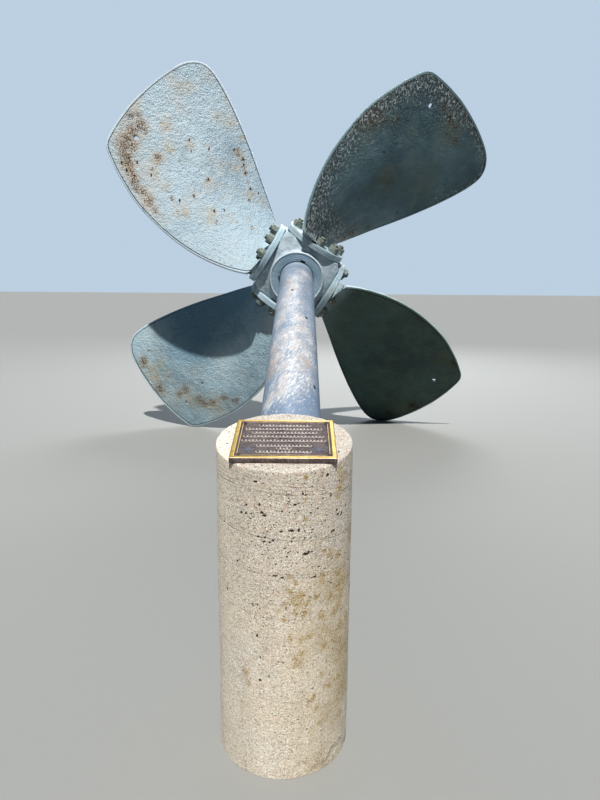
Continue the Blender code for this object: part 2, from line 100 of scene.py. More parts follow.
def pale_floor():
    finish = bpy.data.materials.new("floor")
    finish.use_nodes = True
    shader = finish.node_tree.nodes["Principled BSDF"]
    shader.inputs["Base Color"].default_value = FLOOR_GREY
    shader.inputs["Roughness"].default_value = FLOOR_ROUGHNESS
    mesh = bpy.data.meshes.new("floor")
    corners = [(FLOOR_REACH * x, FLOOR_REACH * y, 0) for x, y in ((-1, -1), (1, -1), (1, 1), (-1, 1))]
    mesh.from_pydata(corners, [], [(0, 1, 2, 3)])
    mesh.materials.append(finish)
    floor = bpy.data.objects.new("floor", mesh)
    bpy.context.scene.collection.objects.link(floor)
    floor.location.z = -FLOOR_DROP


pale_floor()
print("the floor is in place")

# %% [markdown]
# The key lamp stands for a high sun behind the camera. Its direction isn't a guess: the upper left
# blade throws its rounded shadow on the lower left one, and only a lamp near this height and turn
# puts the shadow where the photograph has it. The same direction just grazes the upper right blade.
# The lamp is a little over a degree wide, so the shadow's edge stays soft. A large lamp behind the
# object adds a weak light on its far edges.

# %% Hang the lamps
KEY_TURN_FROM_FRONT = math.radians(2)
KEY_ELEVATION = math.radians(58.5)
KEY_WIDTH = math.radians(1.3)
KEY_DISTANCE = 20
KEY_POWER, KEY_COLOUR = 3.55, (1, 0.975, 0.935)
BACK_PLACE, BACK_TARGET = (1.5, 11, 6), (0, 3.5, 1.5)
BACK_POWER, BACK_COLOUR = 300, (0.95, 0.98, 1)
BACK_SIZE = 4


def lamp(name, kind, place, target, power, colour, **settings):
    """A lamp that faces its target."""
    light = bpy.data.lights.new(name, kind)
    light.energy = power
    light.color = colour
    for key, value in settings.items():
        setattr(light, key, value)
    holder = bpy.data.objects.new(name, light)
    bpy.context.scene.collection.objects.link(holder)
    holder.location = place
    holder.rotation_euler = (Vector(target) - Vector(place)).to_track_quat("-Z", "Y").to_euler()


flat = math.cos(KEY_ELEVATION)
right, front = math.sin(KEY_TURN_FROM_FRONT) * flat, math.cos(KEY_TURN_FROM_FRONT) * flat
towards_key = Vector((right, -front, math.sin(KEY_ELEVATION)))
lamp("key", "SUN", KEY_DISTANCE * towards_key, (0, 0, 0), KEY_POWER, KEY_COLOUR, angle=KEY_WIDTH)
lamp("back", "AREA", BACK_PLACE, BACK_TARGET, BACK_POWER, BACK_COLOUR, size=BACK_SIZE)
print("2 lamps are in place")

# %% [markdown]
# The air is a pale, cool grey, brighter behind the object than in front, like a lit backdrop. It
# fills the shadows. The picture gets more contrast, because bright and shaded blades are further
# apart in sunlight than a studio would put them.

# %% Light the air
FRONT_AIR = (0.075, 0.100, 0.130, 1)
BACK_AIR = (0.40, 0.475, 0.55, 1)
FRONT_ENDS, BACK_STARTS = -0.3, 0.7
FIRST_COLOUR, SECOND_COLOUR, MIXED_COLOUR = 6, 7, 2

air = bpy.data.worlds.new("studio air")
air.use_nodes = True
nodes, links = air.node_tree.nodes, air.node_tree.links
direction = nodes.new("ShaderNodeTexCoord")
parts = nodes.new("ShaderNodeSeparateXYZ")
to_back = nodes.new("ShaderNodeMapRange")
to_back.inputs["From Min"].default_value = FRONT_ENDS
to_back.inputs["From Max"].default_value = BACK_STARTS
shade = nodes.new("ShaderNodeMix")
shade.data_type = "RGBA"
shade.inputs[FIRST_COLOUR].default_value = FRONT_AIR
shade.inputs[SECOND_COLOUR].default_value = BACK_AIR
links.new(direction.outputs["Generated"], parts.inputs[0])
links.new(parts.outputs["Y"], to_back.inputs["Value"])
links.new(to_back.outputs[0], shade.inputs[0])
links.new(shade.outputs[MIXED_COLOUR], nodes["Background"].inputs["Color"])
bpy.context.scene.world = air
bpy.context.scene.view_settings.view_transform = "Standard"
bpy.context.scene.view_settings.look = "High Contrast"
print("the air is lit")

# %% [markdown]
# ## Sizes shared with the CAD
#
# The finer castings follow the same drawing as the CAD, so its driving sizes are repeated here.
# The propeller has its own frame: X up, Y to the left and Z forward along the shaft to the pier.
# Each palm has one too: Z points out of the hub, and X forward.

# %% Repeat the drawing's sizes
SHAFT_SLOPE = math.radians(13.7)
HUB_CENTRE = Vector((0, 4.323, 1.704478))
FIRST_BLADE = math.radians(45 + 2.874544)
TIP_RADIUS = 4.267 / 2
SEAT_DISTANCE = 0.31
ROOT_RADIUS = SEAT_DISTANCE + 0.05
PITCH = 4.43
RAKE = 0.059
EDGE_THICKNESS = 0.022
ROOT_THICKNESS = 0.17
ROOT_SHARE_ON_FACE = 0.62
PALM_LEAD = math.radians(10)
PALM_FORWARD = 0.07
PALM_FOOT = SEAT_DISTANCE + 0.0003
PALM_TOP = PALM_FOOT + 0.058
PALM_RADIUS = 0.30
STUD_CIRCLE = 0.232
STUD_BEARINGS = (4, 44, 84, 184, 224, 264)
STUD_PLACES = [
    (STUD_CIRCLE * math.cos(math.radians(bearing)), STUD_CIRCLE * math.sin(math.radians(bearing)))
    for bearing in STUD_BEARINGS
]
SHAFT_RADIUS = 0.1555
HUB_FRONT = 0.37
HUB_AFT = -0.37
SIDES = ("upper_left", "lower_left", "lower_right", "upper_right")

forward = Vector((0, -math.cos(SHAFT_SLOPE), -math.sin(SHAFT_SLOPE)))
up = Vector((0, -math.sin(SHAFT_SLOPE), math.cos(SHAFT_SLOPE)))
PROPELLER = Matrix.Translation(HUB_CENTRE) @ Matrix((up, forward.cross(up), forward)).transposed().to_4x4()

out = Vector((math.cos(PALM_LEAD), math.sin(PALM_LEAD), 0))
PALM = Matrix((Vector((0, 0, 1)), out.cross(Vector((0, 0, 1))), out)).transposed().to_4x4()
PALM = Matrix.Translation((0, 0, PALM_FORWARD)) @ PALM


def blade_turn(number):
    return Matrix.Rotation(FIRST_BLADE + number * math.pi / 2, 4, "Z")


print("hub centre", tuple(HUB_CENTRE))

# %% [markdown]
# ## Tools for shapes
#
# Most of these castings are rows of points with faces between them: a blade is rows across its
# span, a shaft is rings along its length. One small function turns such a grid into a mesh.

# %% Rings, grids and meshes
def turns(sides):
    """Angles spaced evenly round a circle."""
    return np.linspace(0, 2 * math.pi, sides, endpoint=False)


def ring(turn, radius, height):
    """Points round the Z axis. The radius and the height may change on the way round."""
    return np.stack([radius * np.cos(turn), radius * np.sin(turn), height + 0 * turn], -1)


def grid(points, wrap_rows=False):
    """Points and faces of a grid whose rows are rings. A fan closes the first and the last ring."""
    points = np.asarray(points, float)
    rows, columns = points.shape[:2]
    index = np.arange(rows * columns).reshape(rows, columns)
    near = index if wrap_rows else index[:-1]
    far = np.roll(index, -1, axis=0) if wrap_rows else index[1:]
    quads = np.stack([near, np.roll(near, -1, 1), np.roll(far, -1, 1), far], axis=-1)
    faces = quads.reshape(-1, 4).tolist()
    flat = points.reshape(-1, 3)
    if not wrap_rows:
        flat = np.vstack([flat, points[0].mean(0), points[-1].mean(0)])
        for around, centre in ((index[0][::-1], len(flat) - 2), (index[-1], len(flat) - 1)):
            faces += [(int(a), int(b), centre) for a, b in zip(around, np.roll(around, -1))]
    return flat, faces


def joined(*shells):
    """One list of points and one of faces from several."""
    points, faces = [], []
    for more_points, more_faces in shells:
        faces += [tuple(corner + len(points) for corner in face) for face in more_faces]
        points += [tuple(point) for point in more_points]
    return np.array(points), faces


def mesh_of(name, points, faces, sharp=40):
    """A closed mesh facing out, smooth but for its sharp edges."""
    mesh = bpy.data.meshes.new(name)
    mesh.from_pydata(np.asarray(points).tolist(), [], faces)
    work = bmesh.new()
    work.from_mesh(mesh)
    bmesh.ops.recalc_face_normals(work, faces=work.faces)
    work.to_mesh(mesh)
    work.free()
    mesh.shade_smooth()
    mesh.set_sharp_from_angle(angle=math.radians(sharp))
    return mesh


print("a square ring:", ring(turns(4), 1, 0).round(3).tolist())

# %% [markdown]
# A casting may need a hole or a notch. The cutter is a closed mesh of its own, and Blender's
# boolean modifier takes it out. The rest are small helpers: where a mesh's points are, what numbers
# they hold for the finish, and smooth noise for surfaces that a mould or a chisel left uneven.

# %% Cuts, places and marks
def placed(points, matrix):
    matrix = np.array(matrix)
    return np.asarray(points) @ matrix[:3, :3].T + matrix[:3, 3]


def points_of(mesh):
    points = np.empty(len(mesh.vertices) * 3)
    mesh.vertices.foreach_get("co", points)
    return points.reshape(-1, 3)


def give(mesh, name, values):
    """Stores one number for each point of the mesh, for its finish to read."""
    mesh.attributes.new(name, "FLOAT", "POINT").data.foreach_set("value", values.astype(np.float32))


def rough(points, scale, seed=0):
    """Smooth noise from -1 to 1 at each point, at a scale in lumps per metre."""
    shift = Vector((seed * 7.3, seed * 3.1, seed * 5.7))
    return np.array([noise.noise(Vector(point) * scale + shift) for point in points])


def without(mesh, cutters):
    """The mesh with closed cutters taken out of it."""
    block = bpy.data.objects.new("block", mesh)
    bpy.context.scene.collection.objects.link(block)
    tools = []
    for number, cutter in enumerate(cutters):
        tool = bpy.data.objects.new(f"cutter_{number}", cutter)
        bpy.context.scene.collection.objects.link(tool)
        cut = block.modifiers.new(tool.name, "BOOLEAN")
        cut.operation = "DIFFERENCE"
        cut.solver = "EXACT"
        cut.object = tool
        tools.append(tool)
    graph = bpy.context.evaluated_depsgraph_get()
    made = bpy.data.meshes.new_from_object(block.evaluated_get(graph))
    for thing in (block, *tools):
        bpy.data.objects.remove(thing)
    return made


def round_bar(radius, low, high, sides=24):
    """A closed round bar along Z."""
    turn = turns(sides)
    return grid([ring(turn, radius, low), ring(turn, radius, high)])


print("a round bar of 24 sides has", len(round_bar(1, 0, 1)[1]), "faces")

# %% [markdown]
# Every mesh becomes a piece of the model in the same way: it goes to its place, rides on the frame,
# and hides the plain CAD node that it stands for.

# %% Make a mesh a piece of the model
def piece(name, mesh, finish, stands_for, matrix=None):
    made = bpy.data.objects.new(name, mesh)
    bpy.context.scene.collection.objects.link(made)
    if matrix is not None:
        made.matrix_world = matrix
    if not mesh.materials:
        mesh.materials.append(finish)
    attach(made, "root")
    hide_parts(stands_for)


print(len(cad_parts), "CAD nodes are there to be replaced")

# %% [markdown]
# ## A tool for finishes
#
# A finish is a graph of nodes. Real paint on a rough casting needs dozens of them, and written out
# one by one they hide the idea. The class below keeps the graph but gives each step a short word:
# noise, cells, a soft step between two values, and a colour laid over what is there already, as a
# painter works. Anything that is the same all over the surface goes straight onto the shader.

# %% Short words for shader nodes
class Finish:
    """A material in the making, with the colour that has been laid so far."""

    def __init__(self, name, seed=0.0):
        self.material = bpy.data.materials.new(name)
        self.material.use_nodes = True
        self.tree = self.material.node_tree
        self.shader = self.tree.nodes["Principled BSDF"]
        self.place = self.tree.nodes.new("ShaderNodeTexCoord").outputs["Object"]
        self.seed = seed
        self.colour = None

    def node(self, kind, inputs, **settings):
        made = self.tree.nodes.new(kind)
        for key, value in settings.items():
            setattr(made, key, value)
        for key, value in inputs.items():
            if isinstance(value, bpy.types.NodeSocket):
                self.tree.links.new(value, made.inputs[key])
            else:
                made.inputs[key].default_value = value
        return made

    def noise(self, scale, detail=3, roughness=0.5, place=None, shift=0.0):
        """Noise round a half. The scale is in lumps per metre, and each shift gives another one."""
        inputs = {
            "Vector": place or self.place,
            "W": self.seed + shift,
            "Scale": scale,
            "Detail": detail,
            "Roughness": roughness,
        }
        return self.node("ShaderNodeTexNoise", inputs, noise_dimensions="4D").outputs["Fac"]

    def cells(self, scale, shift=0.0):
        """The distance to the middle of the nearest cell, and a random colour for each cell."""
        inputs = {"Vector": self.place, "W": self.seed + shift, "Scale": scale}
        made = self.node("ShaderNodeTexVoronoi", inputs, voronoi_dimensions="4D")
        return made.outputs["Distance"], made.outputs["Color"]

    def mark(self, name):
        """A number that the mesh holds at each point."""
        return self.node("ShaderNodeAttribute", {}, attribute_name=name).outputs["Fac"]

    def maths(self, operation, first, second=0.0):
        return self.node("ShaderNodeMath", {0: first, 1: second}, operation=operation).outputs[0]

    def add(self, *values):
        total = values[0]
        for value in values[1:]:
            total = self.maths("ADD", total, value)
        return total

    def times(self, first, second):
        return self.maths("MULTIPLY", first, second)

    def less(self, first, second):
        return self.maths("SUBTRACT", first, second)

    def most(self, first, second):
        return self.maths("MAXIMUM", first, second)

    def scaled_on(self, value, factor, addend):
        """The value times a factor, plus something."""
        inputs = {0: value, 1: factor, 2: addend}
        return self.node("ShaderNodeMath", inputs, operation="MULTIPLY_ADD").outputs[0]

    def step(self, value, low, high, start=0.0, stop=1.0):
        """Start below low, stop above high, and a soft change between them."""
        inputs = {0: value, 1: low, 2: high, 3: start, 4: stop}
        made = self.node("ShaderNodeMapRange", inputs, interpolation_type="SMOOTHSTEP", clamp=True)
        return made.outputs[0]

    def stretched(self, scale, turn=(0, 0, 0), place=None):
        """The place, turned and scaled, for a noise that runs one way."""
        inputs = {"Vector": place or self.place, "Rotation": turn, "Scale": scale}
        return self.node("ShaderNodeMapping", inputs).outputs["Vector"]

    def along(self):
        """The three coordinates of the place, one by one."""
        return self.node("ShaderNodeSeparateXYZ", {0: self.place}).outputs

    def mix(self, share, first, second, blend="MIX"):
        """The first colour with a share of the second."""
        made = self.node("ShaderNodeMix", {"Factor": share}, data_type="RGBA", blend_type=blend)
        for key, value in ((FIRST_COLOUR, first), (SECOND_COLOUR, second)):
            if isinstance(value, bpy.types.NodeSocket):
                self.tree.links.new(value, made.inputs[key])
            else:
                made.inputs[key].default_value = (*value, 1)
        return made.outputs[MIXED_COLOUR]

    def base(self, share, first, second):
        """Starts with a mix of two colours."""
        self.colour = self.mix(share, first, second)

    def lay(self, share, tint, blend="MIX"):
        """Lays a share of a colour over what is there."""
        self.colour = self.mix(share, self.colour, tint, blend)

    def finish(self, roughness, height, metal=None):
        """Links what varies over the surface. The height is in metres."""
        relief = self.node("ShaderNodeBump", {"Height": height, "Distance": 1.0, "Strength": 1.0})
        self.tree.links.new(self.colour, self.shader.inputs["Base Color"])
        self.tree.links.new(relief.outputs["Normal"], self.shader.inputs["Normal"])
        self.tree.links.new(roughness, self.shader.inputs["Roughness"])
        if metal is not None:
            self.tree.links.new(metal, self.shader.inputs["Metallic"])
        return self.material


print("a finish has", len([name for name in vars(Finish) if not name.startswith("_")]), "words")

# %% [markdown]
# ## The blades: shape
#
# Each blade is a casting on a screw surface: a point goes round the shaft and along it in a fixed
# proportion, the pitch. The outline is drawn flat, as distances ahead of and behind the blade's
# radial line, and then wrapped onto the screw. The sections are thick in the middle and rounded at
# the edges. Subdividing a coarse blade would round its corners off, so the rows are worked out
# from the formula, which keeps the outline exactly.

# %% The outline and the screw surface
LEADING_EDGE = (
    (0, 0.33), (0.014, 0.39), (0.036, 0.505), (0.244, 0.60), (0.462, 0.635), (0.686, 0.595),
    (0.829, 0.508), (0.915, 0.433), (0.979, 0.35), (0.993, 0.203), (1, -0.08),
)
TRAILING_EDGE = (
    (0, -0.12), (0.014, -0.17), (0.043, -0.28), (0.301, -0.483), (0.508, -0.64), (0.720, -0.779),
    (0.863, -0.846), (0.938, -0.837), (0.981, -0.739), (0.995, -0.559), (1, -0.08),
)
BLADE_ROWS = 150
BLADE_COLUMNS = 56
EDGE_COLUMNS = 5


def through(points, count):
    """A smooth curve through the points, at places evenly spaced along it."""
    points = np.array(points)
    ends = np.vstack([2 * points[0] - points[1], points, 2 * points[-1] - points[-2]])
    curve = [points[0]]
    for first, start, stop, last in zip(ends, ends[1:], ends[2:], ends[3:]):
        for share in np.linspace(0, 1, 17)[1:]:
            square = (2 * first - 5 * start + 4 * stop - last) * share**2
            cube = (3 * start - first - 3 * stop + last) * share**3
            curve.append(0.5 * (2 * start + (stop - first) * share + square + cube))
    curve = np.array(curve)
    along = np.concatenate([[0], np.cumsum(np.hypot(*np.diff(curve, axis=0).T))])
    places = np.linspace(0, along[-1], count)
    return np.stack([np.interp(places, along, curve[:, n]) for n in (0, 1)], 1)


def edge_of_blade(edge, count):
    """The edge is listed by its share of the span, and by its distance ahead in metres."""
    span = TIP_RADIUS - ROOT_RADIUS
    return through([(ROOT_RADIUS + share * span, ahead) for share, ahead in edge], count)


def on_screw(radius, ahead, offset):
    """Points at a radius, ahead along the section, and off the surface."""
    slope = np.arctan2(PITCH, 2 * math.pi * radius)
    turn = (ahead * np.cos(slope) - offset * np.sin(slope)) / radius
    along = ahead * np.sin(slope) + offset * np.cos(slope) - RAKE * radius
    return np.stack([radius * np.cos(turn), radius * np.sin(turn), along], axis=-1)


def off_screw(points):
    """The reverse: radius, distance ahead and offset of points near the blade."""
    radius = np.hypot(points[:, 0], points[:, 1])
    slope = np.arctan2(PITCH, 2 * math.pi * radius)
    round_shaft = np.arctan2(points[:, 1], points[:, 0]) * radius
    along = points[:, 2] + RAKE * radius
    ahead = round_shaft * np.cos(slope) + along * np.sin(slope)
    return radius, ahead, along * np.cos(slope) - round_shaft * np.sin(slope)


lead = edge_of_blade(LEADING_EDGE, BLADE_ROWS + 1)
trail = edge_of_blade(TRAILING_EDGE, BLADE_ROWS + 1)
print("widest section", round(float(np.abs(lead - trail)[:, 1].max()), 3), "m")

# %% [markdown]
# A real blade grows out of its palm, the round flange that is bolted to the hub, in a smooth
# fillet. Here each section widens along a quarter circle over its last few centimetres, and the
# widening is held inside the palm's rim.

# %% The sections of a blade and its fillet
FILLET = 0.075
EDGE_FLARE = 0.35 * FILLET
PALM_MARGIN = 0.009
CASTING_WAVE = 0.0012


def blade_shares(chord):
    """Places across a section from its leading edge: close together where the edges are rounded."""
    inset = min(EDGE_THICKNESS / 2 / chord, 0.2)
    rounded = 1 - np.cos(np.linspace(0, math.pi / 2, EDGE_COLUMNS + 1))
    middle = inset + (1 - 2 * inset) * np.arange(1, BLADE_COLUMNS) / BLADE_COLUMNS
    return np.concatenate([inset * rounded, middle, 1 - inset * rounded[::-1]]), inset


def flare(height):
    """How far the fillet stands out at a height above the palm, as a share of its size."""
    low = np.clip(1 - height / FILLET, 0, 1)
    return 1 - np.sqrt(1 - low**2)


def kept_on_palm(points):
    """Low points of the fillet stay inside the palm's rim, which lets go of them higher up."""
    points = placed(points, PALM.inverted())
    away = np.hypot(points[:, 0], points[:, 1])
    free = np.clip((points[:, 2] - PALM_TOP) / FILLET, 0, 1)
    most = PALM_RADIUS - PALM_MARGIN + 0.5 * (1 - np.sqrt(1 - free**2))
    points[:, :2] *= np.minimum(1, most / away)[:, None]
    return placed(points, PALM)


def blade_section(ahead_end, behind_end):
    """One closed row: over the back from the leading edge, and home along the face."""
    ahead_end = (ahead_end[0], ahead_end[1] + EDGE_FLARE * flare(ahead_end[0] - ROOT_RADIUS))
    behind_end = (behind_end[0], behind_end[1] - EDGE_FLARE * flare(behind_end[0] - ROOT_RADIUS))
    share, inset = blade_shares(math.dist(ahead_end, behind_end))
    radius = ahead_end[0] + (behind_end[0] - ahead_end[0]) * share
    ahead = ahead_end[1] + (behind_end[1] - ahead_end[1]) * share
    near = np.minimum(np.minimum(share, 1 - share) / inset, 1)
    rounding = np.sqrt(1 - (1 - near) ** 2)
    thickness = (ROOT_THICKNESS - EDGE_THICKNESS) * np.maximum(1 - radius / TIP_RADIUS, 0)
    fullness = thickness * 4 * share * (1 - share)
    on_face = ROOT_SHARE_ON_FACE * (1 - radius / TIP_RADIUS)
    middle = on_screw(radius, ahead, 0)
    above_palm = middle[:, 0] * out.x + middle[:, 1] * out.y - PALM_TOP
    half = (EDGE_THICKNESS / 2 + FILLET * flare(above_palm)) * rounding
    wave = CASTING_WAVE * rough(middle, 9) * rounding
    back = on_screw(radius, ahead, half + fullness * (1 - on_face) + wave)
    face = on_screw(radius, ahead, -half - fullness * on_face + wave)
    row = np.vstack([back, face[-2:0:-1]])
    return kept_on_palm(row) if above_palm.min() < FILLET else row


blade_rows = [blade_section(*ends) for ends in zip(lead[:-1], trail[:-1])]
print(len(blade_rows), "sections of", len(blade_rows[0]), "points")

# %% [markdown]
# The palm is turned on its own, with a rounded rim and a groove. Near the tip a hole takes the hook
# that lifts the blade. One stud stands so close to the blade that its nut needs a round pocket in
# the fillet. Both are cut with closed bars.

# %% Turn the palm, and cut the lifting hole and the nut's pocket
PALM_RIM = 0.007
PALM_GROOVE = ((0, 0.44), (0.0025, 0.46), (0.0035, 0.48), (0.0035, 0.52), (0.0025, 0.54), (0, 0.56))
HOLE_RADIUS = 0.0225
HOLE_PLACE = (1.905, 0.12)
HOLE_REACH = 0.06
POCKET_RADIUS = 0.057
POCKET_HEIGHT = 0.11


def palm_rings():
    """The palm's own profile: a flat disc with a rounded rim and a groove round it."""
    inner, low, high = PALM_RADIUS - PALM_RIM, PALM_FOOT + PALM_RIM, PALM_TOP - PALM_RIM
    profile = [(PALM_RADIUS / 2, PALM_FOOT), (inner, PALM_FOOT)]
    for bend in np.linspace(-math.pi / 2, 0, 5)[1:]:
        profile.append((inner + PALM_RIM * math.cos(bend), low + PALM_RIM * math.sin(bend)))
    for depth, share in PALM_GROOVE:
        profile.append((PALM_RADIUS - depth, PALM_FOOT + share * (PALM_TOP - PALM_FOOT)))
    for bend in np.linspace(0, math.pi / 2, 5):
        profile.append((inner + PALM_RIM * math.cos(bend), high + PALM_RIM * math.sin(bend)))
    profile.append((PALM_RADIUS / 2, PALM_TOP))
    return [ring(turns(120), radius, height) for radius, height in profile]


def lifting_hole():
    over, under = (Vector(on_screw(*HOLE_PLACE, off)) for off in (HOLE_REACH, -HOLE_REACH))
    turned = (over - under).to_track_quat("Z", "Y").to_matrix().to_4x4()
    points, faces = round_bar(HOLE_RADIUS, -HOLE_REACH, HOLE_REACH, 32)
    return mesh_of("lifting_hole", placed(points, Matrix.Translation((over + under) / 2) @ turned), faces)


def nut_pocket():
    points, faces = round_bar(POCKET_RADIUS, PALM_TOP - 0.001, PALM_TOP + POCKET_HEIGHT, 48)
    return mesh_of("nut_pocket", placed(points, PALM @ Matrix.Translation((*STUD_PLACES[0], 0))), faces)


blade_casting = without(mesh_of("blade", *grid(blade_rows)), [lifting_hole(), nut_pocket()])
blade_faces = [tuple(face.vertices) for face in blade_casting.polygons]
palm_points, palm_faces = grid(palm_rings())
blade_shell = joined((points_of(blade_casting), blade_faces), (placed(palm_points, PALM), palm_faces))
print(f"one blade has {len(blade_shell[1])} faces")

# %% [markdown]
# ## The blades: marks
#
# Weathering isn't spread evenly. Rust has come through at the leading corners, where the blades
# were knocked, and in a few chips and pits that run across each blade. Each such place is a spot
# on the blade: its radius, its distance ahead, and its size, all in metres. Painting an image would
# be another way, but numbers on the points need no image and follow the casting exactly.

# %% The spots of rust, stain and pits on each blade
RUST = {
    "upper_left": [
        (2.064, 0.01, 0.05), (1.943, 0.003, 0.07), (1.895, 0.019, 0.05), (1.964, 0.094, 0.08),
        (1.975, 0.184, 0.08), (1.96, 0.255, 0.09), (1.905, 0.31, 0.09), (1.895, 0.2, 0.07),
        (1.85, 0.345, 0.08), (1.797, 0.38, 0.06), (1.729, 0.429, 0.07), (1.68, 0.47, 0.05),
        (1.61, 0.46, 0.05), (1.519, 0.483, 0.05), (1.445, 0.518, 0.04), (1.54, 0.6, 0.04),
        (2.02, -0.05, 0.04), (1.655, 0.119, 0.045), (1.64, 0.24, 0.02), (1.191, -0.442, 0.03),
        (1.234, -0.471, 0.03), (1.137, -0.454, 0.03), (1.08, -0.41, 0.03), (1.019, -0.364, 0.032),
        (0.94, -0.32, 0.02), (0.87, -0.283, 0.028), (0.798, -0.176, 0.022), (0.797, -0.328, 0.018),
        (1.186, -0.032, 0.022), (0.966, 0.165, 0.022), (1.348, 0.329, 0.022), (1.197, 0.18, 0.018),
        (1.568, -0.563, 0.02), (1.549, -0.203, 0.018), (0.9, 0.24, 0.02), (1.25, 0.4, 0.02),
        (0.6, 0.05, 0.02),
    ],
    "upper_right": [
        (1.973, -0.016, 0.04), (1.956, -0.123, 0.05), (1.966, -0.226, 0.05), (1.983, 0.036, 0.03),
        (1.57, 0.387, 0.05), (1.58, 0.482, 0.05), (1.55, 0.592, 0.05), (1.631, 0.289, 0.04),
        (1.499, 0.47, 0.05), (1.439, 0.598, 0.05), (1.9, -0.33, 0.05), (0.645, -0.228, 0.05),
        (1.125, -0.456, 0.03), (0.55, -0.2, 0.05), (0.8, -0.34, 0.04),
    ],
    "lower_left": [
        (1.897, -0.001, 0.05), (1.807, 0.018, 0.06), (1.775, 0.207, 0.06), (1.781, 0.269, 0.06),
        (1.566, 0.388, 0.05), (1.504, 0.5, 0.05), (1.7, 0.33, 0.05), (2.05, -0.2, 0.08),
        (2.02, -0.55, 0.07), (1.1, -0.2, 0.02),
    ],
    "lower_right": [
        (2.06, -0.3, 0.08), (2.03, -0.6, 0.06), (1.9, 0.42, 0.05), (1.3, 0.6, 0.03),
        (0.95, -0.42, 0.03),
    ],
}
STAIN = {
    "upper_left": [
        (1.797, -0.153, 0.075), (1.568, -0.563, 0.06), (1.65, 0.126, 0.08), (1.629, -0.025, 0.07),
        (1.921, -0.538, 0.07), (1.919, -0.812, 0.06), (1.595, 0.271, 0.06), (1.1, -0.351, 0.07),
        (1.517, -0.168, 0.05), (1.207, 0.176, 0.06), (0.828, -0.229, 0.06), (1.168, -0.009, 0.05),
        (1.473, 0.281, 0.07), (0.974, 0.196, 0.05), (0.952, 0.271, 0.05), (1.186, 0.359, 0.05),
        (2.087, -0.101, 0.08), (2.091, 0.093, 0.06), (1.95, 0.22, 0.14), (1.8, 0.38, 0.12),
        (1.95, 0.04, 0.1), (1.55, 0.47, 0.1), (1.2, -0.455, 0.06), (1.45, -0.62, 0.05),
        (1.3, -0.6, 0.04), (0.7, -0.3, 0.05),
    ],
    "upper_right": [
        (1.9, -0.2, 0.16), (1.55, 0.5, 0.16), (1.2, 0.0, 0.12), (0.6, -0.25, 0.12), (1.5, -0.4, 0.15),
    ],
    "lower_left": [
        (1.85, 0.1, 0.14), (1.7, 0.35, 0.12), (2.0, -0.4, 0.2), (1.1, -0.3, 0.1),
    ],
    "lower_right": [
        (2.0, -0.45, 0.18), (1.8, 0.4, 0.12), (1.0, -0.4, 0.1), (0.7, 0.2, 0.1),
    ],
}
PITS = {
    "upper_left": [
        (1.655, 0.119, 0.011), (1.549, -0.203, 0.011), (1.467, -0.124, 0.009), (1.486, 0.013, 0.011),
        (1.384, -0.27, 0.007), (1.191, -0.442, 0.012), (1.25, -0.455, 0.011), (1.24, -0.495, 0.01),
        (1.137, -0.454, 0.012), (1.085, -0.415, 0.01), (1.019, -0.364, 0.013), (0.87, -0.283, 0.013),
        (0.798, -0.176, 0.012), (0.797, -0.328, 0.01), (1.186, -0.032, 0.015), (1.197, 0.18, 0.01),
        (1.348, 0.329, 0.01), (0.966, 0.165, 0.011), (0.901, 0.095, 0.01), (0.742, 0.105, 0.011),
        (1.103, 0.229, 0.007), (1.618, 0.289, 0.01), (1.779, 0.29, 0.013), (1.897, 0.375, 0.012),
        (1.676, 0.135, 0.01), (1.64, 0.15, 0.009), (1.69, 0.085, 0.009), (1.86, 0.3, 0.012),
        (1.74, 0.4, 0.012), (1.93, 0.12, 0.012), (1.96, 0.04, 0.011), (1.65, 0.48, 0.011),
        (1.56, 0.51, 0.01), (1.05, 0.02, 0.007), (1.93, 0.25, 0.012), (1.825, 0.41, 0.012),
        (1.28, 0.3, 0.007), (1.33, 0.05, 0.006),
    ],
    "upper_right": [
        (1.75, 0.3, 0.01), (1.35, 0.2, 0.009), (1.86, -0.25, 0.011), (0.9, 0.1, 0.009),
        (1.97, -0.1, 0.012),
    ],
    "lower_left": [
        (1.6, 0.1, 0.01), (1.2, 0.3, 0.01), (1.904, -0.605, 0.012), (0.9, -0.1, 0.009),
        (1.75, 0.24, 0.012),
    ],
    "lower_right": [
        (1.5, 0.2, 0.01), (1.1, -0.1, 0.01), (1.8, -0.4, 0.012), (1.3, 0.4, 0.009),
    ],
}
print(sum(len(spots) for marks in (RUST, STAIN, PITS) for spots in marks.values()), "spots are listed")

# %% [markdown]
# The mesh stores how near each point is to a spot, and the finish breaks that up with noise. It
# also stores how far each point is from the rim and from the leading edge. These distances place the
# rim's wear and painted light, and the painted glint. All four blades share one mesh, so these
# distances are measured once, on the first one.

# %% Measure the blade for its marks
def nearness(radius, ahead, spots):
    """1 in the middle of a spot, falling to 0 well outside all of them."""
    found = np.zeros(len(radius))
    for spot_radius, spot_ahead, size in spots:
        square = (radius - spot_radius) ** 2 + (ahead - spot_ahead) ** 2
        found = np.maximum(found, np.exp(-square / size**2))
    return found


def distance_to(outline, radius, ahead):
    """How far each point is from a line on the flat drawing."""
    nearest = np.full(len(radius), np.inf)
    for start, stop in zip(outline, outline[1:]):
        line = stop - start
        length = max(float(line @ line), 1e-12)
        share = np.clip(((radius - start[0]) * line[0] + (ahead - start[1]) * line[1]) / length, 0, 1)
        away = np.hypot(radius - start[0] - share * line[0], ahead - start[1] - share * line[1])
        nearest = np.minimum(nearest, away)
    return nearest


flat_radius, flat_ahead, flat_offset = off_screw(blade_shell[0])
rim_distance = distance_to(np.vstack([lead, trail[::-1]]), flat_radius, flat_ahead)
lead_distance = distance_to(lead, flat_radius, flat_ahead)
above_palm = placed(blade_shell[0], PALM.inverted())[:, 2] - PALM_TOP
print("rim distance up to", round(float(rim_distance.max()), 3), "m")

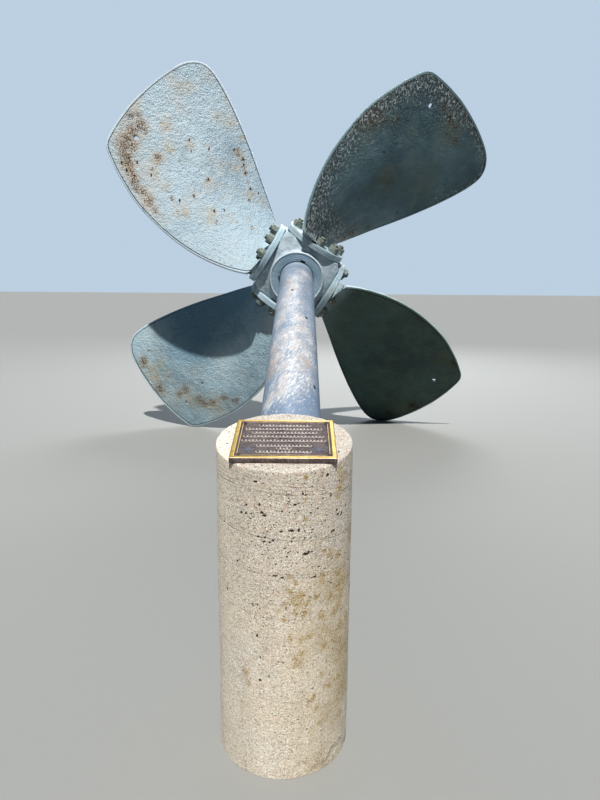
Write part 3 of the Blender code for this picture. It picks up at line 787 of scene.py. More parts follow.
# %% [markdown]
# ## The blades: paint
#
# Blue-grey paint lies thick over a rough sand casting. The grain of the casting is one to two
# centimetres across, so it shows from several metres as a bright speckle. The paint has faded in
# broad patches, most on the upper left blade, which faces the sun. Each layer here is a noise, a
# soft step that says where it shows, and a colour.

# %% The coat of a blade
SLATE, PALE = (0.270, 0.350, 0.395), (0.515, 0.605, 0.650)
BLEACHED = (0.67, 0.73, 0.75)
CREST, HOLLOW = (0.66, 0.70, 0.71), (0.15, 0.19, 0.21)
FINE_DARK, FINE_LIGHT = (0.20, 0.235, 0.25), (0.80, 0.83, 0.84)
WARM_DUST = (0.56, 0.51, 0.45)


def coat(paint, grain, faded):
    """Paint in broad and small clouds, dark in the hollows of the grain and pale on its crests."""
    broad = paint.add(paint.noise(1.7, 4, 0.6, shift=5), faded)
    paint.base(paint.step(broad, 0.34, 0.66), SLATE, PALE)
    paint.lay(paint.step(paint.noise(6, 5, 0.65, shift=7), 0.42, 0.70, 0, 0.45), BLEACHED)
    paint.lay(paint.step(grain, 0.56, 0.70, 0, 0.38), CREST)
    paint.lay(paint.step(grain, 0.43, 0.30, 0, 0.5), HOLLOW)
    fine = paint.noise(135, 2, 0.6, shift=45)
    paint.lay(paint.step(fine, 0.60, 0.70, 0, 0.6), FINE_DARK)
    paint.lay(paint.step(fine, 0.40, 0.32, 0, 0.5), FINE_LIGHT)
    paint.lay(paint.step(paint.noise(3.2, 5, 0.7, shift=13), 0.48, 0.64, 0, 0.42), WARM_DUST)


print("the coat runs from", SLATE, "to", PALE)

# %% [markdown]
# Rust breaks through the crests first, so it starts as specks. Ochre stains lie round it, and where
# the paint has chipped off there is a dark pit with a rusty edge. The outermost edge of a blade is
# rubbed pale and carries a painted highlight of the lit edge, and just inside it runs a darker line
# of painted shade.

# %% Stain, rust, pits, and the rim's wear, painted highlight and painted shade
OCHRE = (0.55, 0.42, 0.27)
RUST_WASH, RUST_BROWN, RUST_ORANGE = (0.46, 0.335, 0.225), (0.125, 0.065, 0.036), (0.33, 0.185, 0.095)
PIT_EDGE, PIT_DARK = (0.26, 0.125, 0.08), (0.028, 0.022, 0.019)
# The rim's pale band is rubbed paint and a painted highlight. The dark line inside it is painted shade.
RIM_PAINTED_SHADE, RIM_WEAR_AND_HIGHLIGHT = (0.050, 0.060, 0.068), (0.66, 0.72, 0.755)


def stained(paint, dust):
    drift = paint.step(paint.noise(9, 4, 0.65, shift=47), 0.36, 0.60, 0.25, 1)
    stain = paint.times(paint.times(paint.mark("stain"), drift), paint.step(dust, 0.32, 0.54))
    paint.lay(paint.times(stain, 0.74), OCHRE)


def rusted(paint):
    """A thin wash, then specks that close up towards the middle of each spot."""
    mark = paint.mark("rust")
    broken = paint.step(paint.noise(38, 4, 0.7, shift=37), 0.34, 0.58)
    paint.lay(paint.times(paint.times(paint.step(mark, 0.05, 0.75), broken), 0.60), RUST_WASH)
    speckle = paint.noise(85, 5, 0.72, shift=17)
    rust = paint.step(paint.add(paint.times(mark, 0.172), speckle), 0.662, 0.702)
    rust = paint.times(rust, paint.step(mark, 0.02, 0.20))
    tint = paint.mix(paint.step(paint.noise(80, 3, 0.6, shift=19), 0.40, 0.66), RUST_BROWN, RUST_ORANGE)
    paint.lay(paint.times(rust, 0.9), tint)
    return rust, speckle


def pitted(paint):
    """The listed pits with ragged, rusty edges, and a few stray ones."""
    strays = paint.step(paint.cells(9, shift=23)[0], 0.075, 0.045)
    strays = paint.times(strays, paint.step(paint.noise(2.1, 2, shift=29), 0.52, 0.60))
    ragged = paint.times(paint.less(paint.noise(120, 3, 0.7, shift=33), 0.5), 0.9)
    ragged = paint.add(paint.mark("pit"), ragged)
    paint.lay(paint.step(ragged, 0.20, 0.46, 0, 0.6), PIT_EDGE)
    pit = paint.most(paint.step(ragged, 0.45, 0.62), strays)
    paint.lay(pit, PIT_DARK)
    return pit


def rim_wear_and_light(paint, dust):
    rim = paint.mark("rim")
    # A dark line of painted shade just inside the rim, broken by noise.
    rim_shade_line = paint.times(paint.step(rim, 0.030, 0.020), paint.step(dust, 0.28, 0.50, 0.45, 0.95))
    paint.lay(rim_shade_line, RIM_PAINTED_SHADE)
    # The pale band: rubbed paint, and a painted highlight on the edge.
    band = paint.step(rim, 0.0195, 0.0165)
    paint.lay(paint.times(band, 0.92), RIM_WEAR_AND_HIGHLIGHT)
    return band


print("rust runs from", RUST_BROWN, "to", RUST_ORANGE)

# %% [markdown]
# A studio has no strong sun, so the last marks paint its light and shade into the colour. `seen` is
# the side that the camera faces, and there the two right-hand blades, which stood in shade, take a
# darker tone of the same paint: painted shade. Another mark darkens the lower left blade towards its
# trailing edge, a painted shadow, and the upper left blade a little near its root, painted shade.
# `glint` is a painted highlight on the upper right blade, where the sun grazed the casting: its
# crests are painted bright and its hollows painted dark.

# %% Painted shade, shadow and highlight, and the whole paint
FULL_TONE = (0.80, 0.86, 0.89)
# A painted highlight on the grazed crests, and painted shade in their hollows.
GLINT_PAINTED_HIGHLIGHT, GLINT_PAINTED_SHADE = (0.60, 0.615, 0.62), (0.074, 0.060, 0.050)
# The cool blue of painted shadow and painted shade.
PAINTED_SHADE_BLUE = (0.12, 0.225, 0.295)


def painted_light_and_shade(paint, tone, band):
    # Painted shade: the seen side takes the blade's tone, dark on the two blades that stood in shade.
    paint.lay(1.0, paint.mix(paint.mark("seen"), FULL_TONE, tone), blend="MULTIPLY")
    # Painted highlight: bright crests and dark hollows where the sun grazed the upper right blade.
    glint = paint.times(paint.mark("glint"), paint.less(1.0, band))
    leaning = paint.stretched((1, 1, 0.6), turn=(0, -0.75, 0))
    wrinkle = paint.noise(64, 3, 0.60, place=leaning, shift=41)
    paint.lay(paint.times(glint, paint.step(wrinkle, 0.56, 0.42, 0.1, 0.65)), GLINT_PAINTED_SHADE)
    crest = paint.step(paint.add(paint.times(glint, 0.15), wrinkle), 0.635, 0.745, 0, 0.72)
    patchy = paint.step(paint.noise(13, 4, 0.65, shift=43), 0.36, 0.60, 0.35, 1)
    paint.lay(paint.times(paint.times(crest, patchy), paint.step(glint, 0.04, 0.30)), GLINT_PAINTED_HIGHLIGHT)
    # Painted shadow on the lower left blade, and painted shade near the upper left blade's root.
    paint.lay(paint.mark("grime"), PAINTED_SHADE_BLUE)


def blade_paint(name, seed, faded, tone):
    """One blade's finish. Faded shifts it to the paler paint, and tone paints shade on its seen side."""
    paint = Finish(name, seed)
    grain = paint.noise(62, 3, 0.62)
    dust = paint.noise(26, 4, 0.7, shift=11)
    coat(paint, grain, faded)
    stained(paint, dust)
    rust, speckle = rusted(paint)
    pit = pitted(paint)
    band = rim_wear_and_light(paint, dust)
    painted_light_and_shade(paint, tone, band)
    even = paint.most(band, paint.times(paint.mark("palm"), 0.85))
    lumps = paint.times(paint.noise(21, 2, 0.5, shift=3), 0.013)
    height = paint.add(
        paint.times(paint.times(grain, 0.0145), paint.less(1.0, paint.times(even, 0.8))),
        paint.times(lumps, paint.less(1.0, even)),
        paint.times(paint.noise(170, 2, shift=31), 0.0012),
        paint.times(paint.times(rust, speckle), 0.006),
        paint.times(pit, -0.008),
    )
    roughness = paint.most(paint.step(grain, 0.3, 0.8, 0.40, 0.58), paint.times(rust, 0.85))
    return paint.finish(roughness, height)


print("the full tone is", FULL_TONE)

# %% [markdown]
# Every blade gets its own copy of the mesh, because the marks differ, and its own seed, so that no
# two have the same grain. The tones were judged against the photograph, blade by blade.

# %% Mark, paint and place the four blades
FADED = {"upper_left": 0.16, "lower_left": 0.03, "lower_right": -0.05, "upper_right": -0.02}
# The tone of each blade's seen side. On the two right-hand blades it is painted shade.
TONE_AND_PAINTED_SHADE = {
    "upper_left": (0.86, 0.90, 0.935), "lower_left": (0.75, 0.83, 0.865),
    "lower_right": (0.195, 0.27, 0.225), "upper_right": (0.295, 0.40, 0.42),
}
# The one blade that gets the painted glint.
GRAZED_BLADE = "upper_right"
RIM_STARTS = 0.42
seen_side = (flat_offset > 0).astype(float)
towards_trailing_edge = np.clip((0.12 - flat_ahead) / 0.35, 0, 1)
# Painted shade: the shadow that the upper left blade casts on the lower left one, and a darkening near the
# upper left root.
grime = {
    "upper_left": 0.11 * np.clip((1.5 - flat_radius) / 0.6, 0, 1),
    "lower_left": 0.80 * towards_trailing_edge * np.clip((1.85 - flat_radius) / 0.45, 0, 1),
}
# Where the painted glint reaches: along the leading edge, the rim near the tip, and the root.
glint_reach = np.exp(-((lead_distance / 0.24) ** 2))
glint_reach += 0.8 * np.exp(-((rim_distance / 0.09) ** 2)) * (flat_radius > 1.5)
glint_reach += np.exp(-(((flat_radius - 0.50) / 0.20) ** 2))
glint_reach = np.clip(glint_reach, 0, 1)
for number, side in enumerate(SIDES):
    casting = mesh_of(f"blade_casting_{side}", *blade_shell, sharp=50)
    casting.transform(PROPELLER @ blade_turn(number))
    marks = {
        "rust": nearness(flat_radius, flat_ahead, RUST[side]) * (0.6 + 0.4 * seen_side),
        "stain": nearness(flat_radius, flat_ahead, STAIN[side]),
        "pit": nearness(flat_radius, flat_ahead, PITS[side]) * seen_side,
        "seen": seen_side * np.clip(above_palm / 0.16, 0, 1),
        "glint": (side == GRAZED_BLADE) * seen_side * glint_reach * np.clip(above_palm / 0.04, 0, 1),
        "grime": seen_side * grime.get(side, 0),
        "palm": np.clip(1 - above_palm / 0.03, 0, 1),
        "rim": np.where(flat_radius < RIM_STARTS, 1.0, rim_distance),
    }
    for mark, values in marks.items():
        give(casting, mark, values)
    finish = blade_paint(f"blade_paint_{side}", 10.0 + 13 * number, FADED[side], TONE_AND_PAINTED_SHADE[side])
    piece(f"blade_casting_{side}", casting, finish, f"blade_{side}")
print("4 blades are cast and painted")

# %% [markdown]
# ## The hub
#
# The hub is one casting, turned all round and then planed flat at four seats for the palms. Its
# front boss carries a raised lip and a recess with machined steps around the shaft. In the model
# every ring of the turned profile is cut back to the square of the seats, and a soft minimum
# rounds the corner between the two as a foundry pattern would.

# %% Turn the hub, plane its seats and cut the keyway
BORE_RADIUS = 0.1558
SHAFT_TAPER = 1 / 12
BARREL_RADIUS = 0.40568
PLANED_FROM = 0.285
SEAT_CORNER = 0.012
KEY_TURN = math.radians(-20)
KEYWAY_SIZE, KEYWAY_CENTRE = (0.1778, 0.0446, 0.60), (0.0889, 0, 0.12)
NOTCH_TURN = math.radians(97)
NOTCH_SIZE, NOTCH_CENTRE = (0.012, 0.085, 0.05), (0.163, 0, HUB_FRONT - 0.018)


def soft_least(first, second, blend):
    """The smaller of two numbers, rounded where they are close."""
    near = np.clip(0.5 + 0.5 * (second - first) / blend, 0, 1)
    return second + (first - second) * near - blend * near * (1 - near)


def finer(profile, step):
    """The profile with extra points, so that no two are further apart than a step."""
    points = [profile[0]]
    for start, stop in zip(profile, profile[1:]):
        count = max(1, math.ceil(math.dist(start, stop) / step))
        points += [tuple(np.array(start) + (np.array(stop) - start) * n / count) for n in range(1, count + 1)]
    return points


def hub_profile():
    """Radius and height: up the bore, over the recess and the lip, and down the barrel to its aft end."""
    front, lip, recess = HUB_FRONT, HUB_FRONT - 0.008, HUB_FRONT - 0.018
    aft_bore = BORE_RADIUS - (HUB_FRONT - HUB_AFT) * SHAFT_TAPER / 2
    barrel = BARREL_RADIUS
    return [
        (aft_bore, HUB_AFT), (BORE_RADIUS, front - 0.03), (BORE_RADIUS + 0.004, recess - 0.001),
        (0.170, recess - 0.001), (0.1715, recess + 0.004), (0.184, recess + 0.004),
        (0.1855, recess + 0.007), (0.201, recess + 0.007), (0.2025, lip), (0.218, lip),
        (0.2195, lip + 0.002), (0.237, lip + 0.002), (0.240, front - 0.0035),
        (0.2425, front - 0.0008), (0.246, front), (0.2495, front - 0.0015), (0.252, front - 0.006),
        (0.2545, front - 0.022), (0.259, front - 0.040), (0.266, front - 0.0485),
        (0.280, front - 0.0535), (0.296, front - 0.058), (barrel - 0.024, 0.278),
        (barrel - 0.008, 0.266), (barrel, 0.246), (barrel, -0.144), (barrel - 0.008, -0.164),
        (barrel - 0.026, -0.178), (0.276, -0.338), (0.262, -0.352), (0.258, HUB_AFT + 0.004),
        (0.254, HUB_AFT),
    ]


def hub_rings():
    turn = turns(288)
    seat_turn = turn - FIRST_BLADE - PALM_LEAD
    square = SEAT_DISTANCE / np.maximum(np.abs(np.cos(seat_turn)), np.abs(np.sin(seat_turn)))
    rings = []
    for radius, height in finer(hub_profile(), 0.012):
        planed = soft_least(radius, square, SEAT_CORNER) if radius > PLANED_FROM else radius
        rings.append(ring(turn, planed, height))
    return rings


def block(size, centre, turn):
    """A closed box, turned about the shaft."""
    corners = np.array([(x, y, z) for x in (-0.5, 0.5) for y in (-0.5, 0.5) for z in (-0.5, 0.5)])
    faces = [(0, 1, 3, 2), (4, 6, 7, 5), (0, 4, 5, 1), (2, 3, 7, 6), (0, 2, 6, 4), (1, 5, 7, 3)]
    return mesh_of("block", placed(corners * size + centre, Matrix.Rotation(turn, 4, "Z")), faces)


hub_rough = mesh_of("hub_rough", *grid(hub_rings(), wrap_rows=True))
notches = [block(KEYWAY_SIZE, KEYWAY_CENTRE, KEY_TURN), block(NOTCH_SIZE, NOTCH_CENTRE, NOTCH_TURN)]
hub_casting = without(hub_rough, notches)
hub_casting.shade_smooth()
hub_casting.set_sharp_from_angle(angle=math.radians(35))
print(f"the hub has {len(hub_casting.polygons)} faces")

# %% [markdown]
# The hub wears the same paint as the blades, but its surface is closer grained, and rings left by
# the lathe show on the boss. Rings need no modelling: the distance from the shaft's axis drives a
# wave in the colour and the bump. The same distance makes the recess bluer and its lip paler.

# %% The hub's paint
HUB_SLATE, HUB_PALE = (0.305, 0.375, 0.42), (0.50, 0.57, 0.62)
HUB_CREST, HUB_HOLLOW = (0.76, 0.80, 0.82), (0.09, 0.12, 0.135)
LATHE_LINE, LATHE_PITCH = (0.13, 0.165, 0.19), 0.0165
RECESS_BLUE, LIP_PALE = (0.32, 0.445, 0.55), (0.66, 0.72, 0.76)


def from_axis(paint):
    """Distance from the object's Z axis."""
    flattened = {0: paint.stretched((1, 1, 0))}
    return paint.node("ShaderNodeVectorMath", flattened, operation="LENGTH").outputs["Value"]


def hub_paint():
    paint = Finish("hub_paint", 71)
    grain = paint.noise(95, 4, 0.65)
    paint.base(paint.step(paint.noise(6, 5, 0.62, shift=5), 0.34, 0.66), HUB_SLATE, HUB_PALE)
    paint.lay(paint.step(grain, 0.58, 0.74, 0, 0.5), HUB_CREST)
    paint.lay(paint.step(grain, 0.40, 0.26, 0, 0.7), HUB_HOLLOW)
    radius = from_axis(paint)
    wave = paint.maths("SINE", paint.times(radius, 2 * math.pi / LATHE_PITCH))
    on_boss = paint.times(paint.step(radius, 0.250, 0.246), paint.step(radius, 0.150, 0.156))
    paint.lay(paint.times(on_boss, paint.step(wave, -0.2, -0.95, 0, 0.44)), LATHE_LINE)
    paint.lay(paint.times(paint.step(radius, 0.2405, 0.2385), 0.60), RECESS_BLUE)
    lip = paint.times(paint.step(radius, 0.256, 0.251), paint.step(radius, 0.2385, 0.2415, 0, 0.7))
    paint.lay(lip, LIP_PALE)
    paint.lay(paint.times(paint.step(paint.noise(9, 6, 0.72, shift=13), 0.66, 0.72), 0.75), RUST_BROWN)
    height = paint.add(
        paint.times(grain, 0.0058),
        paint.times(paint.noise(30, 3, 0.55, shift=3), 0.0100),
        paint.times(paint.times(on_boss, wave), 0.0006),
    )
    return paint.finish(paint.step(grain, 0.3, 0.8, 0.40, 0.60), height)


piece("hub_casting", hub_casting, hub_paint(), "hub", PROPELLER)
print("the hub is in place")

# %% [markdown]
# ## The tail shaft
#
# The shaft is forged and turned. Behind the propeller nut its end is threaded: the ring radius
# follows a ramp that climbs as it goes round, and that is all a helix needs.

# %% Turn the shaft and cut its thread
CONTACT_GAP = 0.0003
SHAFT_END = 4.5201
SHAFT_NUT_LENGTH = 0.15
THREAD_RADIUS = 0.095
THREAD_PITCH = 0.008
THREAD_DEPTH = 0.0045
THREAD_PAST_NUT = 0.045


def thread(turn, height, radius, depth, pitch):
    """The radius of a thread's ridge and valley at each turn and height."""
    ramp = (height / pitch - turn / (2 * math.pi)) % 1
    return radius - depth * (1 - np.abs(2 * ramp - 1) * 2).clip(0, 1)


def shaft_rings():
    turn = turns(112)
    tail = HUB_AFT - CONTACT_GAP - SHAFT_NUT_LENGTH - THREAD_PAST_NUT
    taper_end = HUB_AFT + 0.045
    taper_radius = SHAFT_RADIUS - (HUB_FRONT - taper_end) * SHAFT_TAPER / 2
    profile = [(SHAFT_RADIUS, height) for height in np.linspace(SHAFT_END, HUB_FRONT, 210)]
    profile += [(taper_radius, taper_end), (THREAD_RADIUS - 0.004, taper_end)]
    for height in np.arange(taper_end - 0.01, tail, -0.0013):
        inside = min(1, (height - tail) / 0.008)
        radius = thread(turn, height, THREAD_RADIUS, THREAD_DEPTH, THREAD_PITCH)
        profile.append((radius - 0.010 * (1 - inside), height))
    profile += [(THREAD_RADIUS - 0.014, tail), (0.03, tail)]
    return [ring(turn, radius, height) for radius, height in profile]


shaft_forging = mesh_of("shaft_forging", *grid(shaft_rings()))
print(f"the shaft has {len(shaft_forging.polygons)} faces")

# %% [markdown]
# The paint has worn through in pale patches where the shaft catches the weather, on its upper side,
# and rust has run from a few of them. The patches are listed by their angle round the shaft, in
# degrees from its top, their distance from the hub and their size.

# %% The worn patches and the rust
WORN = [
    (-0.4, 0.958, 0.1), (4, 1.2, 0.1), (12, 1.38, 0.09), (29, 1.565, 0.09), (6, 1.72, 0.1),
    (22, 1.88, 0.09), (39, 2.015, 0.09), (-12, 2.08, 0.1), (-23, 2.294, 0.1), (19.7, 2.407, 0.12),
    (46.6, 2.485, 0.08), (-43, 2.405, 0.07), (2, 2.62, 0.13), (28, 2.75, 0.1), (-30, 2.7, 0.1),
    (2.2, 3.157, 0.12), (10.7, 3.281, 0.1), (-17.3, 3.071, 0.1), (41.6, 3.324, 0.08), (0, 2.92, 0.12),
    (-30, 0.72, 0.08),
]
SHAFT_RUST = [
    (48.7, 2.813, 0.05), (52, 2.93, 0.045), (-33.2, 2.831, 0.045), (-3, 2.669, 0.02), (20, 1.06, 0.035),
    (44, 2.62, 0.03), (-24, 2.28, 0.022), (33, 2.02, 0.024), (150, 1.6, 0.05), (-140, 2.6, 0.06),
]
on_shaft = points_of(shaft_forging)
shaft_turn = np.arctan2(on_shaft[:, 1], on_shaft[:, 0])
for name, spots in (("worn", WORN), ("rust", SHAFT_RUST)):
    found = np.zeros(len(on_shaft))
    for angle, distance, size in spots:
        round_shaft = np.angle(np.exp(1j * (shaft_turn - math.radians(angle)))) * SHAFT_RADIUS
        square = round_shaft**2 + (0.6 * (on_shaft[:, 2] - distance)) ** 2
        found = np.maximum(found, np.exp(-square / size**2))
    give(shaft_forging, name, found)
print(len(WORN), "worn patches and", len(SHAFT_RUST), "rusty ones")

# %% [markdown]
# The flecks and streaks in the paint run aslant, as a brush leaves them that goes round and along.
# One turn of the noise does that: each place is turned about the shaft's axis by an angle that
# grows along the shaft, so a straight grain comes out wound like a thread. Three small dark plugs
# are spots in the colour, drawn out along the shaft in the same way as the streaks are.

# %% The shaft's paint
WIND = -1.84
SHAFT_BLUE, SHAFT_GREY, LOW_BLUE = (0.20, 0.25, 0.325), (0.28, 0.335, 0.415), (0.185, 0.245, 0.335)
BRUSHED, FLECK, LIGHT_SCRATCH = (0.395, 0.41, 0.445), (0.64, 0.64, 0.65), (0.60, 0.60, 0.61)
BRUSH_GAP, DARK_SPECK, COLLAR = (0.155, 0.20, 0.265), (0.13, 0.12, 0.125), (0.37, 0.445, 0.49)
WARM_WEAR, SEEP, SEEP_RUST = (0.55, 0.455, 0.375), (0.56, 0.40, 0.27), (0.34, 0.17, 0.085)
PLUGS = [(8.8, 1.34), (-33.4, 1.993), (-53.8, 3.107)]
PLUG_DARK = (0.020, 0.018, 0.018)
PLUG_SQUASH = 0.45


def plugged(paint):
    """Dark spots at the plugs, longer along the shaft than round it."""
    plug = None
    for angle, distance in PLUGS:
        x, y = SHAFT_RADIUS * math.cos(math.radians(angle)), SHAFT_RADIUS * math.sin(math.radians(angle))
        squashed = {0: paint.stretched((1, 1, PLUG_SQUASH)), 1: (x, y, PLUG_SQUASH * distance)}
        away = paint.node("ShaderNodeVectorMath", squashed, operation="DISTANCE").outputs["Value"]
        inside = paint.step(away, 0.0112, 0.0092)
        plug = inside if plug is None else paint.most(plug, inside)
    paint.lay(plug, PLUG_DARK)
    return plug


def shaft_paint():
    paint = Finish("shaft_paint", 83)
    low = paint.along()[2]
    turned = {"Vector": paint.place, "Angle": paint.times(low, WIND)}
    wound = paint.node("ShaderNodeVectorRotate", turned, rotation_type="Z_AXIS").outputs["Vector"]
    swirl = paint.stretched((1, 1, 0.45), place=wound)
    slanted = paint.stretched((1, 1, 0.20), place=wound)
    worn, rusty = paint.mark("worn"), paint.mark("rust")
    streak = paint.noise(40, 6, 0.75, place=swirl, shift=3)
    fine = paint.noise(105, 4, 0.75, place=swirl, shift=5)
    fleck = paint.noise(98, 4, 0.72, place=slanted, shift=13)
    paint.base(paint.step(paint.noise(6, 5, 0.62, place=swirl), 0.36, 0.64), SHAFT_BLUE, SHAFT_GREY)
    paint.lay(paint.step(low, 2.75, 3.35, 0, 0.8), LOW_BLUE)
    brushed = paint.step(paint.add(paint.times(worn, 0.17), streak), 0.565, 0.655, 0, 0.70)
    paint.lay(brushed, BRUSHED)
    paint.lay(paint.step(paint.add(paint.times(worn, 0.10), fine), 0.625, 0.685, 0, 0.6), LIGHT_SCRATCH)
    paint.lay(paint.step(paint.add(paint.times(worn, 0.115), fleck), 0.595, 0.650, 0, 0.78), FLECK)
    paint.lay(paint.step(fleck, 0.43, 0.36, 0, 0.45), BRUSH_GAP)
    warm = paint.times(worn, paint.step(paint.noise(13, 4, 0.7, place=swirl, shift=7), 0.44, 0.62))
    paint.lay(paint.times(warm, paint.step(fine, 0.36, 0.56, 0.15, 0.62)), WARM_WEAR)
    dark = paint.add(paint.times(worn, 0.05), paint.noise(110, 4, 0.7, shift=9))
    paint.lay(paint.step(dark, 0.66, 0.72, 0, 0.75), DARK_SPECK)
    paint.lay(paint.times(paint.times(rusty, paint.step(fine, 0.36, 0.60, 0.15, 0.95)), 0.66), SEEP)
    rust = paint.add(paint.times(rusty, 0.13), paint.noise(75, 4, 0.75, shift=11))
    paint.lay(paint.times(paint.step(rust, 0.66, 0.72), 0.7), SEEP_RUST)
    paint.lay(paint.step(low, 0.47, 0.41, 0, 0.75), COLLAR)
    plug = plugged(paint)
    lathe = paint.noise(150, 2, 0.5, place=paint.stretched((0.02, 0.02, 1)), shift=17)
    height = paint.add(
        paint.times(paint.noise(42, 4, 0.6, shift=19), 0.0030),
        paint.times(lathe, 0.0007),
        paint.times(brushed, -0.0005),
        paint.times(fine, 0.0012),
        paint.times(plug, -0.004),
    )
    return paint.finish(paint.step(streak, 0.3, 0.8, 0.38, 0.60), height)


piece("shaft_forging", shaft_forging, shaft_paint(), "tail_shaft", PROPELLER)
print("the shaft is in place")

# %% [markdown]
# ## Nuts, studs and key
#
# Six studs hold each palm. Their nuts are tall hexagons whose corners are turned down to a cone.
# In the model that is again a smaller-of-two rule: the hexagon's radius, or the cone's where it is
# less. All 24 are one mesh, which also carries the threaded end of the stud.

# %% Shape a nut with the end of its stud
NUT_FLATS = 0.088
NUT_HEIGHT = 0.058
NUT_CORNER = 0.567
CONE_START, CONE_SLOPE = 0.475, 0.55
STUD_RADIUS = 0.025
STUD_PROUD = 0.022
STUD_THREAD = (0.0022, 0.0055)
SEAT = PALM_TOP + CONTACT_GAP


def hexagon(turn, flats):
    """The radius of a hexagon with slightly rounded corners."""
    corner = (turn % (math.pi / 3)) - math.pi / 6
    return soft_least(flats / 2 / np.cos(corner), flats * NUT_CORNER, flats * 0.02)


def nut_rings(flats, low, high, hole, sides):
    """A closed loop of rings: up the hexagon's outside, in over its top and down its hole."""
    turn = turns(sides)
    profile = []
    for share in (0, 0.03, 0.06, 0.10, 0.15, 0.5, 0.80, 0.84, 0.88, 0.91, 0.94, 0.97, 1):
        cone = flats * CONE_START + min(share, 1 - share) * (high - low) / CONE_SLOPE
        radius = soft_least(hexagon(turn, flats), cone, flats * 0.01)
        profile.append((radius, low + share * (high - low)))
    profile += [(hole + 0.004, high), (hole, high - 0.004), (hole, low + 0.004), (hole + 0.004, low)]
    return [ring(turn, radius, height) for radius, height in profile]


def stud_rings():
    turn = turns(48)
    nut_top = SEAT + NUT_HEIGHT
    top = nut_top + STUD_PROUD
    profile = []
    for height in np.arange(nut_top - 0.01, top - 0.003, 0.00095):
        profile.append((thread(turn, height, STUD_RADIUS, *STUD_THREAD), height))
    profile += [(STUD_RADIUS - 0.003, top - 0.002), (STUD_RADIUS - 0.006, top), (0.004, top - 0.0015)]
    return [ring(turn, radius, height) for radius, height in profile]


nut = grid(nut_rings(NUT_FLATS, SEAT, SEAT + NUT_HEIGHT, STUD_RADIUS - 0.002, 72), wrap_rows=True)
stud_nut = mesh_of("stud_nut", *joined(nut, grid(stud_rings())))
print(f"one nut and stud end has {len(stud_nut.polygons)} faces")

# %% [markdown]
# The nuts were painted once, a dull olive, and have weathered since. One finish serves all of them:
# each copy adds its own random number to its place in the noise, so that no two look alike. The
# shaft's nut and its key, both out of sight, take the same finish in other colours.

# %% The finish of the nuts, and all of them in place
OLIVE, OLIVE_DARK, OLIVE_FADED = (0.17, 0.195, 0.165), (0.085, 0.100, 0.088), (0.29, 0.33, 0.31)
BARE_STEEL, NUT_RUST = (0.46, 0.48, 0.46), (0.115, 0.062, 0.036)
SHAFT_NUT_GREY, KEY_STEEL = (0.20, 0.25, 0.28), (0.12, 0.10, 0.08)
SHAFT_NUT_FLATS = 0.34
SPIN_PER_STUD, SPIN_PER_BLADE = 0.37, 0.9


def nut_finish(name, paint_colour, rust_from):
    steel = Finish(name)
    chance = steel.node("ShaderNodeObjectInfo", {}).outputs["Random"]
    moved = {0: steel.place, 1: steel.times(chance, 9.0)}
    steel.place = steel.node("ShaderNodeVectorMath", moved, operation="ADD").outputs["Vector"]
    grain = steel.noise(160, 4, 0.7)
    patch = steel.noise(34, 4, 0.65, shift=3)
    shade = steel.mix(steel.times(chance, 0.6), paint_colour, OLIVE_DARK)
    steel.base(steel.step(patch, 0.35, 0.62), shade, OLIVE_FADED)
    steel.lay(steel.step(grain, 0.62, 0.76, 0, 0.5), BARE_STEEL)
    rust = steel.step(steel.noise(60, 5, 0.72, shift=7), rust_from, rust_from + 0.07)
    steel.lay(steel.times(rust, 0.85), NUT_RUST)
    height = steel.add(steel.times(grain, 0.0016), steel.times(patch, 0.0025), steel.times(rust, 0.0008))
    return steel.finish(steel.step(grain, 0.3, 0.7, 0.45, 0.72), height)


olive = nut_finish("nut_paint", OLIVE, 0.585)
for number, side in enumerate(SIDES):
    for place, (x, y) in enumerate(STUD_PLACES, start=1):
        spin = Matrix.Rotation(SPIN_PER_STUD * place + SPIN_PER_BLADE * number, 4, "Z")
        where = PROPELLER @ blade_turn(number) @ PALM @ Matrix.Translation((x, y, 0)) @ spin
        piece(f"stud_nut_{side}_{place}", stud_nut, olive, f"stud_{side}_{place}", where)

nut_high = HUB_AFT - CONTACT_GAP
shaft_nut_rings = nut_rings(SHAFT_NUT_FLATS, nut_high - SHAFT_NUT_LENGTH, nut_high, THREAD_RADIUS, 144)
shaft_nut = mesh_of("shaft_nut", *grid(shaft_nut_rings, wrap_rows=True))
grey = nut_finish("shaft_nut_paint", SHAFT_NUT_GREY, 0.53)
piece("shaft_nut", shaft_nut, grey, "propeller_nut", PROPELLER)
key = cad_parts["shaft_key"]
key.data.materials.clear()
key.data.materials.append(nut_finish("key_steel", KEY_STEEL, 0.40))
print("24 nuts, the shaft nut and the key are in place")

# %% [markdown]
# ## The pier: shape
#
# The pier is concrete cast in a round cardboard form, with its top struck off at a slope. Air
# bubbles against the form left small holes, most of them in the upper third, and lichen has settled
# on the right. The distinct holes and crusts are listed by their angle from the front in degrees,
# their height in metres, and their size in millimetres.

